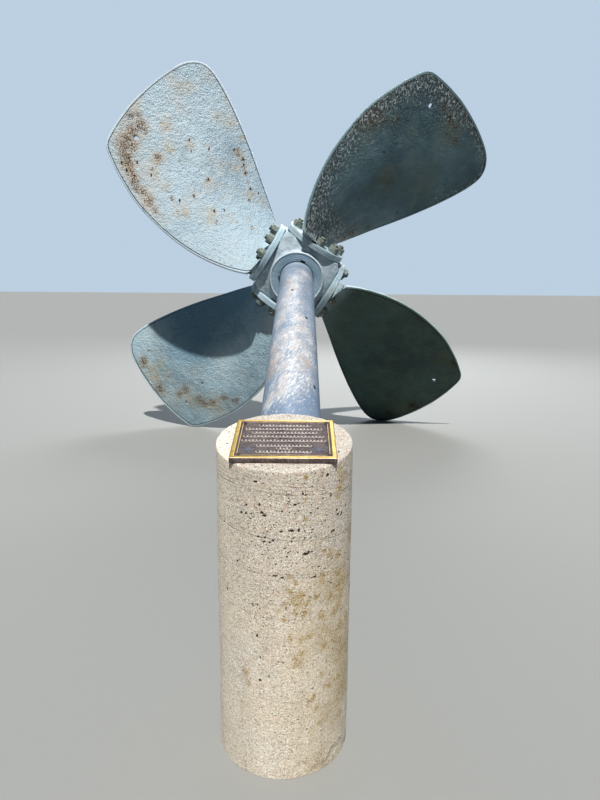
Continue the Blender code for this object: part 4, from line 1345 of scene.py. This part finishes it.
# %% The air holes and the lichen
HOLES = [
    (37.4, 1.042, 6, 6), (-21.5, 1.029, 8, 4), (-13.5, 0.974, 3, 3), (-18.3, 0.956, 3, 7),
    (-29.7, 0.949, 5, 4), (-34.6, 0.92, 5, 5), (-30.2, 0.921, 5, 4), (-25.2, 0.923, 3, 4),
    (-26.2, 0.906, 5, 2.5), (-16.2, 0.932, 6, 5), (-14, 0.923, 10, 4), (-0.3, 0.939, 4, 4),
    (5, 0.935, 3, 3), (9.6, 0.96, 6, 4), (15.8, 0.994, 4, 5), (18.2, 0.989, 5, 3), (28.4, 0.939, 4, 3),
    (48.1, 0.917, 5, 5), (49.6, 0.902, 7, 4), (55.2, 0.899, 4, 6), (53.8, 0.894, 6, 3),
    (61.1, 0.918, 5, 5), (40.9, 0.971, 6, 4), (-66, 0.963, 5, 4), (-57, 0.863, 5, 3),
    (-1.1, 0.874, 7, 4), (7.1, 0.877, 10, 4.5), (12.8, 0.877, 4, 7), (9, 0.852, 4, 3),
    (-13.6, 0.853, 4, 4), (-19.3, 0.852, 5, 3), (-14.4, 0.838, 7, 3.5), (-9.6, 0.838, 5, 3.5),
    (-7.3, 0.844, 5, 4), (2, 0.819, 4, 3), (18.6, 0.796, 12, 4.5), (21.1, 0.802, 5, 4),
    (12.2, 0.804, 3, 3), (-4.9, 0.767, 3, 3), (3.6, 0.792, 6, 3), (-39.6, 0.754, 4, 5),
    (-5.7, 0.728, 11, 3), (-0.2, 0.722, 8, 3), (23.9, 0.713, 5, 3), (26.5, 0.715, 6, 3.5),
    (42.7, 0.85, 5, 4), (45, 0.852, 5, 5), (70.1, 0.716, 4, 6), (53.6, 0.757, 4, 4),
    (-64.1, 0.605, 4, 5), (-53.6, 0.635, 4, 6), (-25, 0.622, 5, 3), (-20.6, 0.622, 6, 3),
    (41.1, 0.737, 3, 3), (30, 0.745, 4, 3), (35.9, 0.733, 4, 3), (-27.1, 0.529, 5, 3),
    (-22.4, 0.531, 4, 3), (-20.7, 0.515, 5, 3), (-6.6, 0.481, 5, 3), (-4.1, 0.426, 6, 4),
    (-10.7, 0.38, 6, 5), (-18.2, 0.443, 4, 4), (-18.4, 0.36, 6, 3), (26, 0.325, 5, 4),
    (-5, 0.241, 9, 3), (13.1, 0.223, 6, 3), (-47.6, 0.397, 5, 3), (-14.7, 0.554, 4, 3),
    (150, 0.93, 8, 4), (120, 0.86, 6, 5), (-110, 0.9, 7, 4), (-150, 0.78, 9, 4), (175, 0.66, 6, 4),
    (-88, 0.7, 6, 4), (95, 0.98, 5, 4), (-130, 0.99, 5, 4), (165, 0.35, 5, 4), (-100, 0.45, 5, 4),
    (88, 0.55, 6, 4),
]
LICHEN = [
    (51.2, 1.05, 16), (54.2, 1.02, 22), (51, 0.99, 18), (49, 0.965, 14), (18, 1.047, 9),
    (31.6, 1.046, 10), (18.2, 0.977, 7), (18.4, 0.912, 8), (40.8, 0.781, 16), (50.7, 0.761, 16),
    (34.6, 0.795, 10), (51.2, 0.698, 22), (51.6, 0.656, 26), (54.7, 0.622, 26), (60, 0.665, 20),
    (71.4, 0.656, 20), (34.9, 0.713, 12), (33.1, 0.695, 12), (6, 0.725, 10), (10.7, 0.704, 12),
    (6.1, 0.672, 14), (14, 0.655, 18), (9, 0.645, 16), (2.9, 0.631, 12), (12.5, 0.629, 18),
    (20.7, 0.631, 14), (27.7, 0.645, 14), (41.7, 0.629, 20), (52.2, 0.584, 22), (17.4, 0.599, 16),
    (68, 0.509, 22), (33.6, 0.576, 18), (17.4, 0.63, 14), (10.9, 0.605, 16), (1.4, 0.58, 10),
    (-3.3, 0.607, 8), (6.2, 0.517, 12), (15.9, 0.506, 14), (22.7, 0.515, 12), (56.5, 0.448, 22),
    (60.4, 0.41, 22), (12.8, 0.423, 14), (11.1, 0.445, 12), (16, 0.456, 12), (54.3, 0.319, 16),
    (34.5, 0.364, 12), (53.8, 0.38, 16), (27, 0.294, 12), (23.4, 0.284, 14), (62, 0.27, 20),
    (41.2, 0.309, 16), (59.3, 0.169, 18), (29, 0.247, 12), (46.9, 0.568, 20), (55.9, 0.501, 22),
    (36.1, 0.463, 16), (-31.4, 0.373, 14), (-29.5, 0.34, 12), (33.2, 0.188, 12), (75, 0.8, 30),
    (85, 0.6, 35), (110, 0.75, 45), (140, 0.55, 40), (170, 0.85, 35), (-120, 0.6, 30), (100, 0.35, 30),
    (-160, 0.4, 30),
]
print(len(HOLES), "air holes and", len(LICHEN), "crusts of lichen")

# %% [markdown]
# The side is meshed finely in front, three to four millimetres, since the camera stands two metres
# away, and the holes are pressed into the mesh. At the right foot a shallow piece has broken off.
# Above the side come the worn rim and then the flat top, which is struck a little uneven. Finer
# still would be a displacement of the whole skin, but the finish's bump does that for less.

# %% Cast the pier
PIER_RADIUS = 0.2285
PIER_HEIGHT = 1.105
PIER_TOP_SLOPE = math.tan(math.radians(9.8))
RIM = 0.006
FINE_FRONT = 100
COARSE_BELOW = 0.56
TOP_WAVE = 0.0008
HOLE_DEPTH = 0.0028
SKIN_INSET, SKIN_WAVE, SKIN_GRAIN = 0.0006, 0.0010, 0.0005
BROKEN_FROM, BROKEN_TO, BROKEN_DEPTH = 10, 82, 0.004
SOCKET_DEEP_END = 3.9


def near_spots(angle, height, spots):
    """Nearness on the pier's side to spots given in degrees, metres and millimetres."""
    found = np.zeros(len(angle))
    for spot in spots:
        spot_angle, spot_height, wide, high = (*spot, spot[-1])[:4]
        across = np.angle(np.exp(1j * (angle - math.radians(spot_angle)))) * PIER_RADIUS
        square = (across * 1000 / wide) ** 2 + ((height - spot_height) * 1000 / high) ** 2
        found = np.maximum(found, np.exp(-square))
    return found


def broken_foot(angle, height):
    """1 where the foot has broken off, under a ragged edge."""
    degrees = np.degrees(angle)
    ends = np.clip((degrees - BROKEN_FROM) / 8, 0, 1) * np.clip((BROKEN_TO - degrees) / 8, 0, 1)
    edge = 0.045 + 0.020 * np.sin(degrees / 7) + 0.008 * np.sin(degrees / 2.3)
    return ends * np.clip((edge - height) / 0.006, 0, 1)


def side_rings(angle):
    """The round side, with its holes, its waves and its broken foot."""
    level = PIER_HEIGHT - PIER_RADIUS * np.cos(angle) * PIER_TOP_SLOPE
    coarse = np.linspace(0, COARSE_BELOW, 66)
    shares = np.concatenate([coarse, np.linspace(COARSE_BELOW, 1 - RIM / PIER_HEIGHT, 128)[1:]])
    rings = []
    for height in shares[:, None] * level:
        pressed = HOLE_DEPTH * np.clip(near_spots(angle, height, HOLES) * 1.6 - 0.5, 0, 1)
        side = np.stack([np.sin(angle), -np.cos(angle), height / PIER_RADIUS], -1) * PIER_RADIUS
        radius = PIER_RADIUS - SKIN_INSET + SKIN_WAVE * rough(side, 5) + SKIN_GRAIN * rough(side, 60)
        radius -= pressed + broken_foot(angle, height) * (BROKEN_DEPTH + 0.0015 * rough(side, 35))
        rings.append(np.stack([radius * np.sin(angle), -radius * np.cos(angle), height], -1))
    return rings


def rim_rings(last):
    """From the last ring of the side inward over a rim that is worn unevenly."""
    worn = 1 + 0.5 * rough(last, 14, 3) + 0.3 * rough(last, 55, 5)
    rings = []
    for bend in np.radians((25, 50, 75, 90)):
        inward = 1 - RIM * worn * (1 - math.cos(bend)) / PIER_RADIUS
        rounded = last * np.stack([inward, inward, np.ones(len(inward))], -1)
        rounded[:, 2] += RIM * math.sin(bend) - RIM * (worn - 1) * 0.5
        rings.append(rounded)
    return rings


def top_rings(rim):
    rings = []
    for share in np.concatenate([np.linspace(0.97, 0.6, 16), np.linspace(0.55, 0.05, 8)]):
        struck = rim * np.array([share, share, 1])
        wave = TOP_WAVE * rough(struck, 40, 7)
        struck[:, 2] = PIER_HEIGHT + struck[:, 1] * PIER_TOP_SLOPE - SKIN_INSET + wave
        rings.append(struck)
    return rings


def pier_rings():
    front = np.radians(np.linspace(-FINE_FRONT, FINE_FRONT, 240))
    behind = np.radians(np.linspace(FINE_FRONT, 360 - FINE_FRONT, 62))[1:-1]
    rings = side_rings(np.concatenate([front, behind]))
    rings += rim_rings(rings[-1])
    return rings + top_rings(rings[-1])


def shaft_socket():
    points, faces = round_bar(SHAFT_RADIUS + CONTACT_GAP, SOCKET_DEEP_END, SHAFT_END + CONTACT_GAP, 96)
    return mesh_of("socket", placed(points, PROPELLER), faces)


pier_casting = without(mesh_of("pier", *grid(pier_rings())), [shaft_socket()])
pier_casting.shade_smooth()
pier_casting.set_sharp_from_angle(angle=math.radians(50))
on_pier = points_of(pier_casting)
pier_angle = np.arctan2(on_pier[:, 0], -on_pier[:, 1])
give(pier_casting, "hole", near_spots(pier_angle, on_pier[:, 2], HOLES))
give(pier_casting, "lichen", near_spots(pier_angle, on_pier[:, 2], LICHEN))
print(f"the pier has {len(pier_casting.polygons)} faces")

# %% [markdown]
# ## The pier: concrete
#
# Concrete is sand and small stones in grey paste. Rain has washed the paste off the skin, so every
# stone shows as its own speck, light or dark. Under the specks the paste is buff and greyer towards
# the top, and its left side is painted paler, as painted light from the left. Noise at several
# sizes, from two millimetres to eight, makes the specks. Cells are for what stands apart, such as
# rosy stones.

# %% Paste, sand and stones
BUFF, LIGHT_BUFF = (0.735, 0.65, 0.53), (0.755, 0.70, 0.615)
UPPER_GREY, BLOTCH, PATCH = (0.565, 0.51, 0.445), (0.44, 0.395, 0.345), (0.71, 0.63, 0.50)
# The second colour of this line is painted light on the pier's left side.
STRUCK_TOP, PAINTED_LIGHT_LEFT = (0.50, 0.455, 0.405), (0.90, 0.80, 0.66)
LIGHT_STONE, DARK_STONE = (0.97, 0.94, 0.88), (0.30, 0.25, 0.20)
LIGHT_SAND, DARK_SAND, DARK_GRAVEL = (0.95, 0.92, 0.86), (0.20, 0.16, 0.13), (0.23, 0.18, 0.14)
LIGHT_GRIT, DARK_GRIT, ROSY = (0.97, 0.93, 0.85), (0.25, 0.21, 0.17), (0.62, 0.42, 0.30)


def paste(paint, x, y, z):
    """The skin's colour, from broad patches to the struck top, and painted light on its left side."""
    paint.base(paint.step(paint.noise(3.2, 4, 0.6), 0.35, 0.65), BUFF, LIGHT_BUFF)
    paint.lay(paint.times(paint.step(z, 0.40, 0.95), 0.8), UPPER_GREY)
    paint.lay(paint.step(paint.noise(7.5, 4, 0.6, shift=41), 0.52, 0.70, 0, 0.30), BLOTCH)
    paint.lay(paint.step(paint.noise(16, 5, 0.65, shift=3), 0.42, 0.72, 0, 0.4), PATCH)
    level = paint.scaled_on(y, -PIER_TOP_SLOPE, z)
    paint.lay(paint.step(level, PIER_HEIGHT - 0.008, PIER_HEIGHT - 0.001), STRUCK_TOP)
    # Painted light: the left side of the pier is painted paler.
    paint.lay(paint.step(x, -0.12, -0.22, 0, 0.9), PAINTED_LIGHT_LEFT)


def stones(paint):
    """Light and dark specks of four sizes, and a few rosy stones."""
    speck = paint.noise(215, 2, 0.8, shift=31)
    paint.lay(paint.step(speck, 0.56, 0.67, 0, 0.85), LIGHT_STONE)
    paint.lay(paint.step(speck, 0.45, 0.35, 0, 0.60), DARK_STONE)
    sand = paint.noise(430, 3, 0.75, shift=5)
    paint.lay(paint.step(sand, 0.55, 0.68, 0, 0.6), LIGHT_SAND)
    paint.lay(paint.step(sand, 0.45, 0.34, 0, 0.7), DARK_SAND)
    paint.lay(paint.step(paint.noise(125, 3, 0.75, shift=7), 0.64, 0.71, 0, 0.6), DARK_GRAVEL)
    grit = paint.noise(195, 3, 0.7, shift=39)
    paint.lay(paint.step(grit, 0.54, 0.64, 0, 0.72), LIGHT_GRIT)
    paint.lay(paint.step(grit, 0.45, 0.35, 0, 0.66), DARK_GRIT)
    chance = paint.node("ShaderNodeSeparateColor", {0: paint.cells(90, shift=33)[1]}).outputs[0]
    paint.lay(paint.step(chance, 0.84, 0.90, 0, 0.25), ROSY)
    return speck, sand


print("the paste runs from", BUFF, "to", LIGHT_BUFF)

# %% [markdown]
# The form was a tube of cardboard wound from strips, and the joints between its turns show as faint
# dark lines that fall slightly to the right. Rain leaves darker runs. A line is the place where the
# height, tilted and a little bent by noise, comes within a few millimetres of a listed level.

# %% Runs of rain, and the form's joints
RAIN_RUN, JOINT_DARK = (0.33, 0.285, 0.24), (0.19, 0.155, 0.13)
JOINT_FALL, JOINT_BEND, JOINT_WIDTH = 0.095, 0.012, 0.0042
JOINTS = (
    (0.993, 1), (1.006, 0.4), (1.018, 0.5), (1.031, 0.35), (0.982, 0.35), (0.846, 0.8), (0.857, 0.35),
    (0.723, 0.6), (0.733, 0.35), (0.578, 0.4), (0.432, 0.35), (0.285, 0.3),
)


def runs_and_joints(paint, x, z):
    run = paint.noise(13, 4, 0.65, place=paint.stretched((1, 1, 0.10)), shift=9)
    paint.lay(paint.step(run, 0.52, 0.74, 0, 0.22), RAIN_RUN)
    bent = paint.less(paint.noise(9, 4, 0.6, shift=11), 0.5)
    height = paint.scaled_on(bent, JOINT_BEND, paint.scaled_on(x, JOINT_FALL, z))
    joints = None
    for level, strength in JOINTS:
        away = paint.maths("ABSOLUTE", paint.less(height, level))
        line = paint.step(away, JOINT_WIDTH, 0.0008, 0, strength)
        joints = line if joints is None else paint.most(joints, line)
    broken = paint.times(joints, paint.step(paint.noise(22, 4, 0.7, shift=13), 0.36, 0.58, 0.15, 1))
    paint.lay(paint.times(broken, 0.46), JOINT_DARK)
    return broken


print(len(JOINTS), "joints of the form")

# %% [markdown]
# Lichen grows in ochre crusts on the right side. A thin veil lies round each crust, and the crust
# itself is speckled, as the rust is. Between the listed crusts a sparse growth covers the right.

# %% Lichen
LICHEN_VEIL, RIGHT_VEIL, PALE_CRUST = (0.56, 0.42, 0.20), (0.46, 0.37, 0.205), (0.70, 0.67, 0.60)
LICHEN_BROWN, LICHEN_OCHRE = (0.30, 0.175, 0.045), (0.46, 0.335, 0.12)


def lichened(paint, x, z):
    crust = paint.noise(150, 4, 0.78, shift=15)
    mark = paint.mark("lichen")
    cover = paint.step(paint.noise(48, 4, 0.7, shift=35), 0.36, 0.60)
    paint.lay(paint.times(paint.times(paint.step(mark, 0.03, 0.75), cover), 0.46), LICHEN_VEIL)
    lichen = paint.step(paint.add(paint.times(mark, 0.135), crust), 0.575, 0.68, 0, 0.9)
    lichen = paint.times(lichen, paint.step(mark, 0.01, 0.25))
    right = paint.times(paint.step(x, -0.03, 0.17), paint.step(z, 0.86, 0.66))
    right = paint.times(right, paint.step(paint.noise(7, 4, 0.65, shift=37), 0.34, 0.62, 0.25, 1))
    paint.lay(paint.times(right, 0.42), RIGHT_VEIL)
    sparse = paint.step(paint.add(paint.times(right, 0.12), crust), 0.625, 0.70, 0, 0.85)
    lichen = paint.most(lichen, paint.times(sparse, right))
    tint = paint.mix(paint.noise(60, 3, 0.6, shift=17), LICHEN_BROWN, LICHEN_OCHRE)
    paint.lay(paint.times(lichen, 0.85), tint)
    paint.lay(paint.step(paint.noise(38, 6, 0.8, shift=19), 0.64, 0.72, 0, 0.5), PALE_CRUST)
    return lichen


print("lichen runs from", LICHEN_BROWN, "to", LICHEN_OCHRE)

# %% [markdown]
# Besides the holes that were pressed into the mesh there are hundreds of smaller ones. They are
# cells, three sizes of them, each with a hole of random size in its middle, and they crowd near the
# top. A hole is dark, because little light reaches in.

# %% Small air holes, and the whole finish
HOLE_DARK = (0.052, 0.040, 0.032)


def pores(paint, scale, least, most, place):
    """Air holes: one in each cell, of a random size between two shares of the cell."""
    made = paint.node("ShaderNodeTexVoronoi", {"Vector": place, "Scale": scale}, voronoi_dimensions="3D")
    size = paint.step(made.outputs["Color"], 0.30, 0.80, least, most)
    return paint.step(paint.less(made.outputs["Distance"], size), 0.035, -0.035)


def holed(paint, z):
    flatter = paint.stretched((1, 1, 1.7), turn=(0.02, 0.05, 0.3))
    high = paint.step(z, 0.55, 0.80, 0.35, 1)
    crowd = paint.times(high, paint.step(paint.noise(7, 3, 0.6, shift=23), 0.34, 0.56, 0.2, 1))
    large = paint.times(pores(paint, 34, -0.06, 0.13, flatter), paint.step(crowd, 0.3, 0.6))
    small = paint.times(pores(paint, 78, -0.10, 0.20, flatter), paint.step(crowd, 0.05, 0.6, 0.5, 1))
    tiny = paint.times(pores(paint, 120, -0.06, 0.22, paint.place), paint.step(crowd, 0.0, 0.5, 0.4, 0.7))
    ragged = paint.less(paint.noise(260, 2, shift=25), 0.5)
    pressed = paint.step(paint.add(paint.mark("hole"), ragged), 0.42, 0.58)
    hole = paint.most(pressed, paint.most(large, paint.most(small, tiny)))
    paint.lay(paint.times(hole, 0.96), HOLE_DARK)
    return hole


def concrete():
    paint = Finish("concrete", 3)
    x, y, z = paint.along()[:3]
    paste(paint, x, y, z)
    speck, sand = stones(paint)
    joints = runs_and_joints(paint, x, z)
    lichen = lichened(paint, x, z)
    hole = holed(paint, z)
    height = paint.add(
        paint.times(sand, 0.0014),
        paint.times(speck, 0.0026),
        paint.times(paint.noise(110, 3, 0.6, shift=27), 0.0026),
        paint.times(paint.noise(28, 3, 0.6, shift=29), 0.0030),
        paint.times(joints, -0.0008),
        paint.times(lichen, 0.0006),
        paint.times(hole, -0.003),
    )
    return paint.finish(paint.step(sand, 0.3, 0.7, 0.82, 0.96), height)


piece("pier_casting", pier_casting, concrete(), "concrete_pier")
print("the pier is in place")

# %% [markdown]
# ## The tablet
#
# The tablet is a bronze casting with a bright border, a thin groove, an inner raised line and a
# dark pebbled field. Its raised rows carry a running scroll here, an old ornament, and its two
# lower corners a compass star. A height for each point of a fine grid is enough for such a shallow
# relief, and the same numbers tell the finish which parts were rubbed bright.

# %% The running scroll and the compass stars
ROWS = (
    (0.103, 0.000, 0.088), (0.074, -0.004, 0.128), (0.044, 0.000, 0.107), (0.013, -0.003, 0.132),
    (-0.020, -0.002, 0.136), (-0.059, 0.000, 0.087), (-0.080, 0.000, 0.022), (-0.104, 0.000, 0.086),
)
LOOP_LENGTH, LOOP_HEIGHT, LOOP_LEAN = 0.0118, 0.0058, 0.0040
STARS = ((-0.112, -0.086), (0.112, -0.086))
LONG_RAY, SHORT_RAY, RING_RADIUS = 0.026, 0.019, 0.0285


def scroll_distance(across, along):
    """The distance from each point to the nearest point of the running scroll."""
    scroll = []
    for level, middle, half in ROWS:
        loops = round(2 * half / LOOP_LENGTH)
        share = np.linspace(0, 1, loops * 40)
        wave = 2 * math.pi * loops * share
        x = middle - half + 2 * half * share - LOOP_LEAN * np.sin(wave)
        y = level + LOOP_HEIGHT * np.cos(wave) * (1 + 0.25 * np.sin(0.37 * wave))
        scroll += list(zip(x, y))
    finder = KDTree(len(scroll))
    for number, (x, y) in enumerate(scroll):
        finder.insert((x, y, 0), number)
    finder.balance()
    return np.array([finder.find((x, y, 0))[2] for x, y in zip(across, along)])


def star_height(across, along):
    """Eight rays round a small boss inside a ring, 1 on the crests and 0 outside."""
    found = np.zeros(len(across))
    for x, y in STARS:
        radius = np.hypot(across - x, (along - y) * 0.9)
        turn = np.arctan2((along - y) * 0.9, across - x)
        long_rays = LONG_RAY * (1 - np.abs(np.sin(2 * turn)) ** 0.55)
        short_rays = SHORT_RAY * (1 - np.abs(np.cos(2 * turn)) ** 0.55)
        inside = np.clip((np.maximum(long_rays, short_rays) + 0.004 - radius) / 0.002, 0, 1)
        rim = np.clip(1.6 - np.abs(radius - RING_RADIUS) / 0.0016, 0, 1)
        found = np.maximum(found, np.maximum(inside, rim))
    return found


print(len(ROWS), "rows of scroll and", len(STARS), "stars")

# %% [markdown]
# The border is a profile too, read by the distance from the tablet's edge: up from the edge to the
# bright band, down into the groove, up over the inner line and down to the field. The grid is one
# and a half millimetres fine, and a skirt of faces and a flat back close it.

# %% Press the relief
TABLET_WIDE, TABLET_LONG, TABLET_THICK = 0.335, 0.304, 0.018
FIELD_DEPTH = 0.0034
FIELD_FROM = 0.026
BORDER = (
    (0, 0.45), (0.0015, 0.85), (0.003, 1), (0.0135, 1), (0.015, 0.35), (0.0185, 0.35), (0.020, 0.92),
    (0.0235, 0.92), (0.0255, 0),
)
SCROLL_WIDTH, SCROLL_BRIGHT = 0.0028, 0.72
RAISED_HEIGHT, PEBBLE_HEIGHT = 0.0017, 0.0003
GRID_STEP = 0.0015


def skirt(x, y, columns, lines):
    """The grid's faces, the points under its rim, the faces down to them and a flat back."""
    index = np.arange(columns * lines).reshape(lines, columns)
    quads = np.stack([index[:-1, :-1], index[:-1, 1:], index[1:, 1:], index[1:, :-1]], -1).reshape(-1, 4)
    rim = np.concatenate([index[0], index[1:, -1], index[-1, -2::-1], index[-2:0:-1, 0]])
    under = len(x) + np.arange(len(rim))
    sides = [(a, b, c, d) for a, b, c, d in zip(rim, under, np.roll(under, -1), np.roll(rim, -1))]
    faces = [tuple(map(int, face)) for face in (*quads.tolist(), *sides, under[::-1])]
    return np.stack([x[rim], y[rim], 0 * x[rim]], -1), faces


def tablet_relief():
    """Points and faces of the tablet, and how bright and how blue each point is."""
    across = np.linspace(-TABLET_WIDE / 2, TABLET_WIDE / 2, round(TABLET_WIDE / GRID_STEP))
    along = np.linspace(-TABLET_LONG / 2, TABLET_LONG / 2, round(TABLET_LONG / GRID_STEP))
    x, y = (values.ravel() for values in np.meshgrid(across, along))
    edge = np.minimum(TABLET_WIDE / 2 - np.abs(x), TABLET_LONG / 2 - np.abs(y))
    on_field = edge > FIELD_FROM
    near = np.interp(edge, *zip(*BORDER))
    scroll = np.clip((SCROLL_WIDTH - scroll_distance(x, y)) / 0.0012, 0, 1)
    stars = star_height(x, y)
    raised = np.where(on_field, np.maximum(scroll, stars), 0)
    height = TABLET_THICK - FIELD_DEPTH + FIELD_DEPTH * near + RAISED_HEIGHT * raised
    pebbles = PEBBLE_HEIGHT * rough(np.stack([x, y, 0 * x], -1), 330)
    height += np.where(edge > BORDER[-1][0], pebbles, 0)
    bright = np.maximum(np.where(near > 0.8, 1, 0), SCROLL_BRIGHT * scroll * on_field)
    under, faces = skirt(x, y, len(across), len(along))
    points = np.vstack([np.stack([x, y, height], -1), under])
    low = np.zeros(len(under))
    return points, faces, np.concatenate([bright, low]), np.concatenate([stars * on_field, low])


tablet_points, tablet_faces, bright, blue = tablet_relief()
tablet_casting = mesh_of("tablet_casting", tablet_points, tablet_faces, sharp=50)
give(tablet_casting, "bright", bright)
give(tablet_casting, "blue", blue)
print(f"the tablet has {len(tablet_casting.polygons)} faces")

# %% [markdown]
# Bronze in the open goes dark brown, and shines only where it is rubbed or polished: the border,
# the inner line and, more faintly, the rows. The stars stay slightly blue. The rosettes over the
# screws are dark as well, with a little wear.

# %% The bronze
FIELD_DARK, FIELD_BROWN, FIELD_SPECK = (0.092, 0.070, 0.067), (0.165, 0.130, 0.122), (0.36, 0.31, 0.29)
GOLD, LIGHT_GOLD, ROW_PALE = (0.555, 0.36, 0.090), (0.70, 0.505, 0.155), (0.50, 0.44, 0.395)
STAR_BLUE = (0.17, 0.20, 0.25)
TABLET_FORWARD = 0.023


def bronze(name, seed, marked):
    """Dark bronze with rubbed parts: those that the mesh marks, or else here and there."""
    metal = Finish(name, seed)
    cloudy = metal.noise(26, 4, 0.65)
    pebbles = metal.cells(420)[0]
    dark = metal.mix(metal.step(cloudy, 0.35, 0.65), FIELD_DARK, FIELD_BROWN)
    dark = metal.mix(metal.step(metal.noise(320, 2, shift=3), 0.50, 0.66, 0, 0.7), dark, FIELD_SPECK)
    gold = metal.mix(metal.step(metal.noise(45, 4, 0.7, shift=5), 0.38, 0.66), GOLD, LIGHT_GOLD)
    if marked:
        on_rows = metal.step(metal.mark("bright"), 0.95, 0.80)
        gold = metal.mix(on_rows, gold, ROW_PALE)
        rubbed = metal.step(metal.add(metal.mark("bright"), metal.times(cloudy, 0.3)), 0.55, 0.80)
        dark = metal.mix(metal.times(metal.mark("blue"), 0.7), dark, STAR_BLUE)
    else:
        rubbed = metal.step(metal.noise(150, 3, 0.6, shift=9), 0.60, 0.80, 0, 0.5)
    metal.base(rubbed, dark, gold)
    height = metal.add(
        metal.times(metal.times(pebbles, metal.less(1.0, rubbed)), -0.0007),
        metal.times(metal.noise(500, 2, shift=7), 0.00006),
    )
    roughness = metal.step(rubbed, 0, 1, 0.62, 0.36)
    return metal.finish(roughness, height, metal=metal.step(rubbed, 0, 1, 0.45, 0.80))


TABLET = Matrix.Translation((0, 0, PIER_HEIGHT)) @ Matrix.Rotation(math.atan(PIER_TOP_SLOPE), 4, "X")
TABLET = TABLET @ Matrix.Translation((0, -TABLET_FORWARD, CONTACT_GAP))
piece("tablet_casting", tablet_casting, bronze("tablet_bronze", 5, True), "tablet", TABLET)
print("the tablet is in place")

# %% [markdown]
# Each screw is hidden by a rosette of eight petals round a button. It is a turned profile whose
# outer radius dips eight times on the way round, and whose petals sag a little between the dips.

# %% The rosettes over the screws
ROSETTE_RADIUS = 0.0078
ROSETTE_INSET = 0.026
ROSETTE_PROFILE = (
    (ROSETTE_RADIUS, 0), (ROSETTE_RADIUS, 0.0028), (0.0072, 0.0044), (0.0062, 0.0052), (0.0048, 0.0046),
    (0.0039, 0.0042), (0.0037, 0.0058), (0.0028, 0.0067), (0.0014, 0.0070),
)


def rosette_rings():
    turn = turns(64)
    foot = TABLET_THICK - FIELD_DEPTH - 0.0005
    rings = []
    for radius, rise in ROSETTE_PROFILE:
        share = radius / ROSETTE_RADIUS
        reach = radius * (1 - 0.10 * np.abs(np.sin(4 * turn)) ** 3 * share**2)
        sag = 0.0009 * (np.abs(np.sin(4 * turn)) ** 2) * (0.5 < share < 0.95)
        rings.append(ring(turn, reach, foot + rise - sag))
    return rings


rosette = mesh_of("rosette", *grid(rosette_rings()))
rosette_finish = bronze("rosette_bronze", 9, False)
corners = {"front_left": (-1, -1), "front_right": (1, -1), "back_right": (1, 1), "back_left": (-1, 1)}
for name, (right, back) in corners.items():
    x, y = right * (TABLET_WIDE / 2 - ROSETTE_INSET), back * (TABLET_LONG / 2 - ROSETTE_INSET)
    where = TABLET @ Matrix.Translation((x, y, 0))
    piece(f"rosette_{name}", rosette, rosette_finish, f"tablet_screw_{name}", where)
print("4 rosettes are in place")

# %% [markdown]
# ## The end
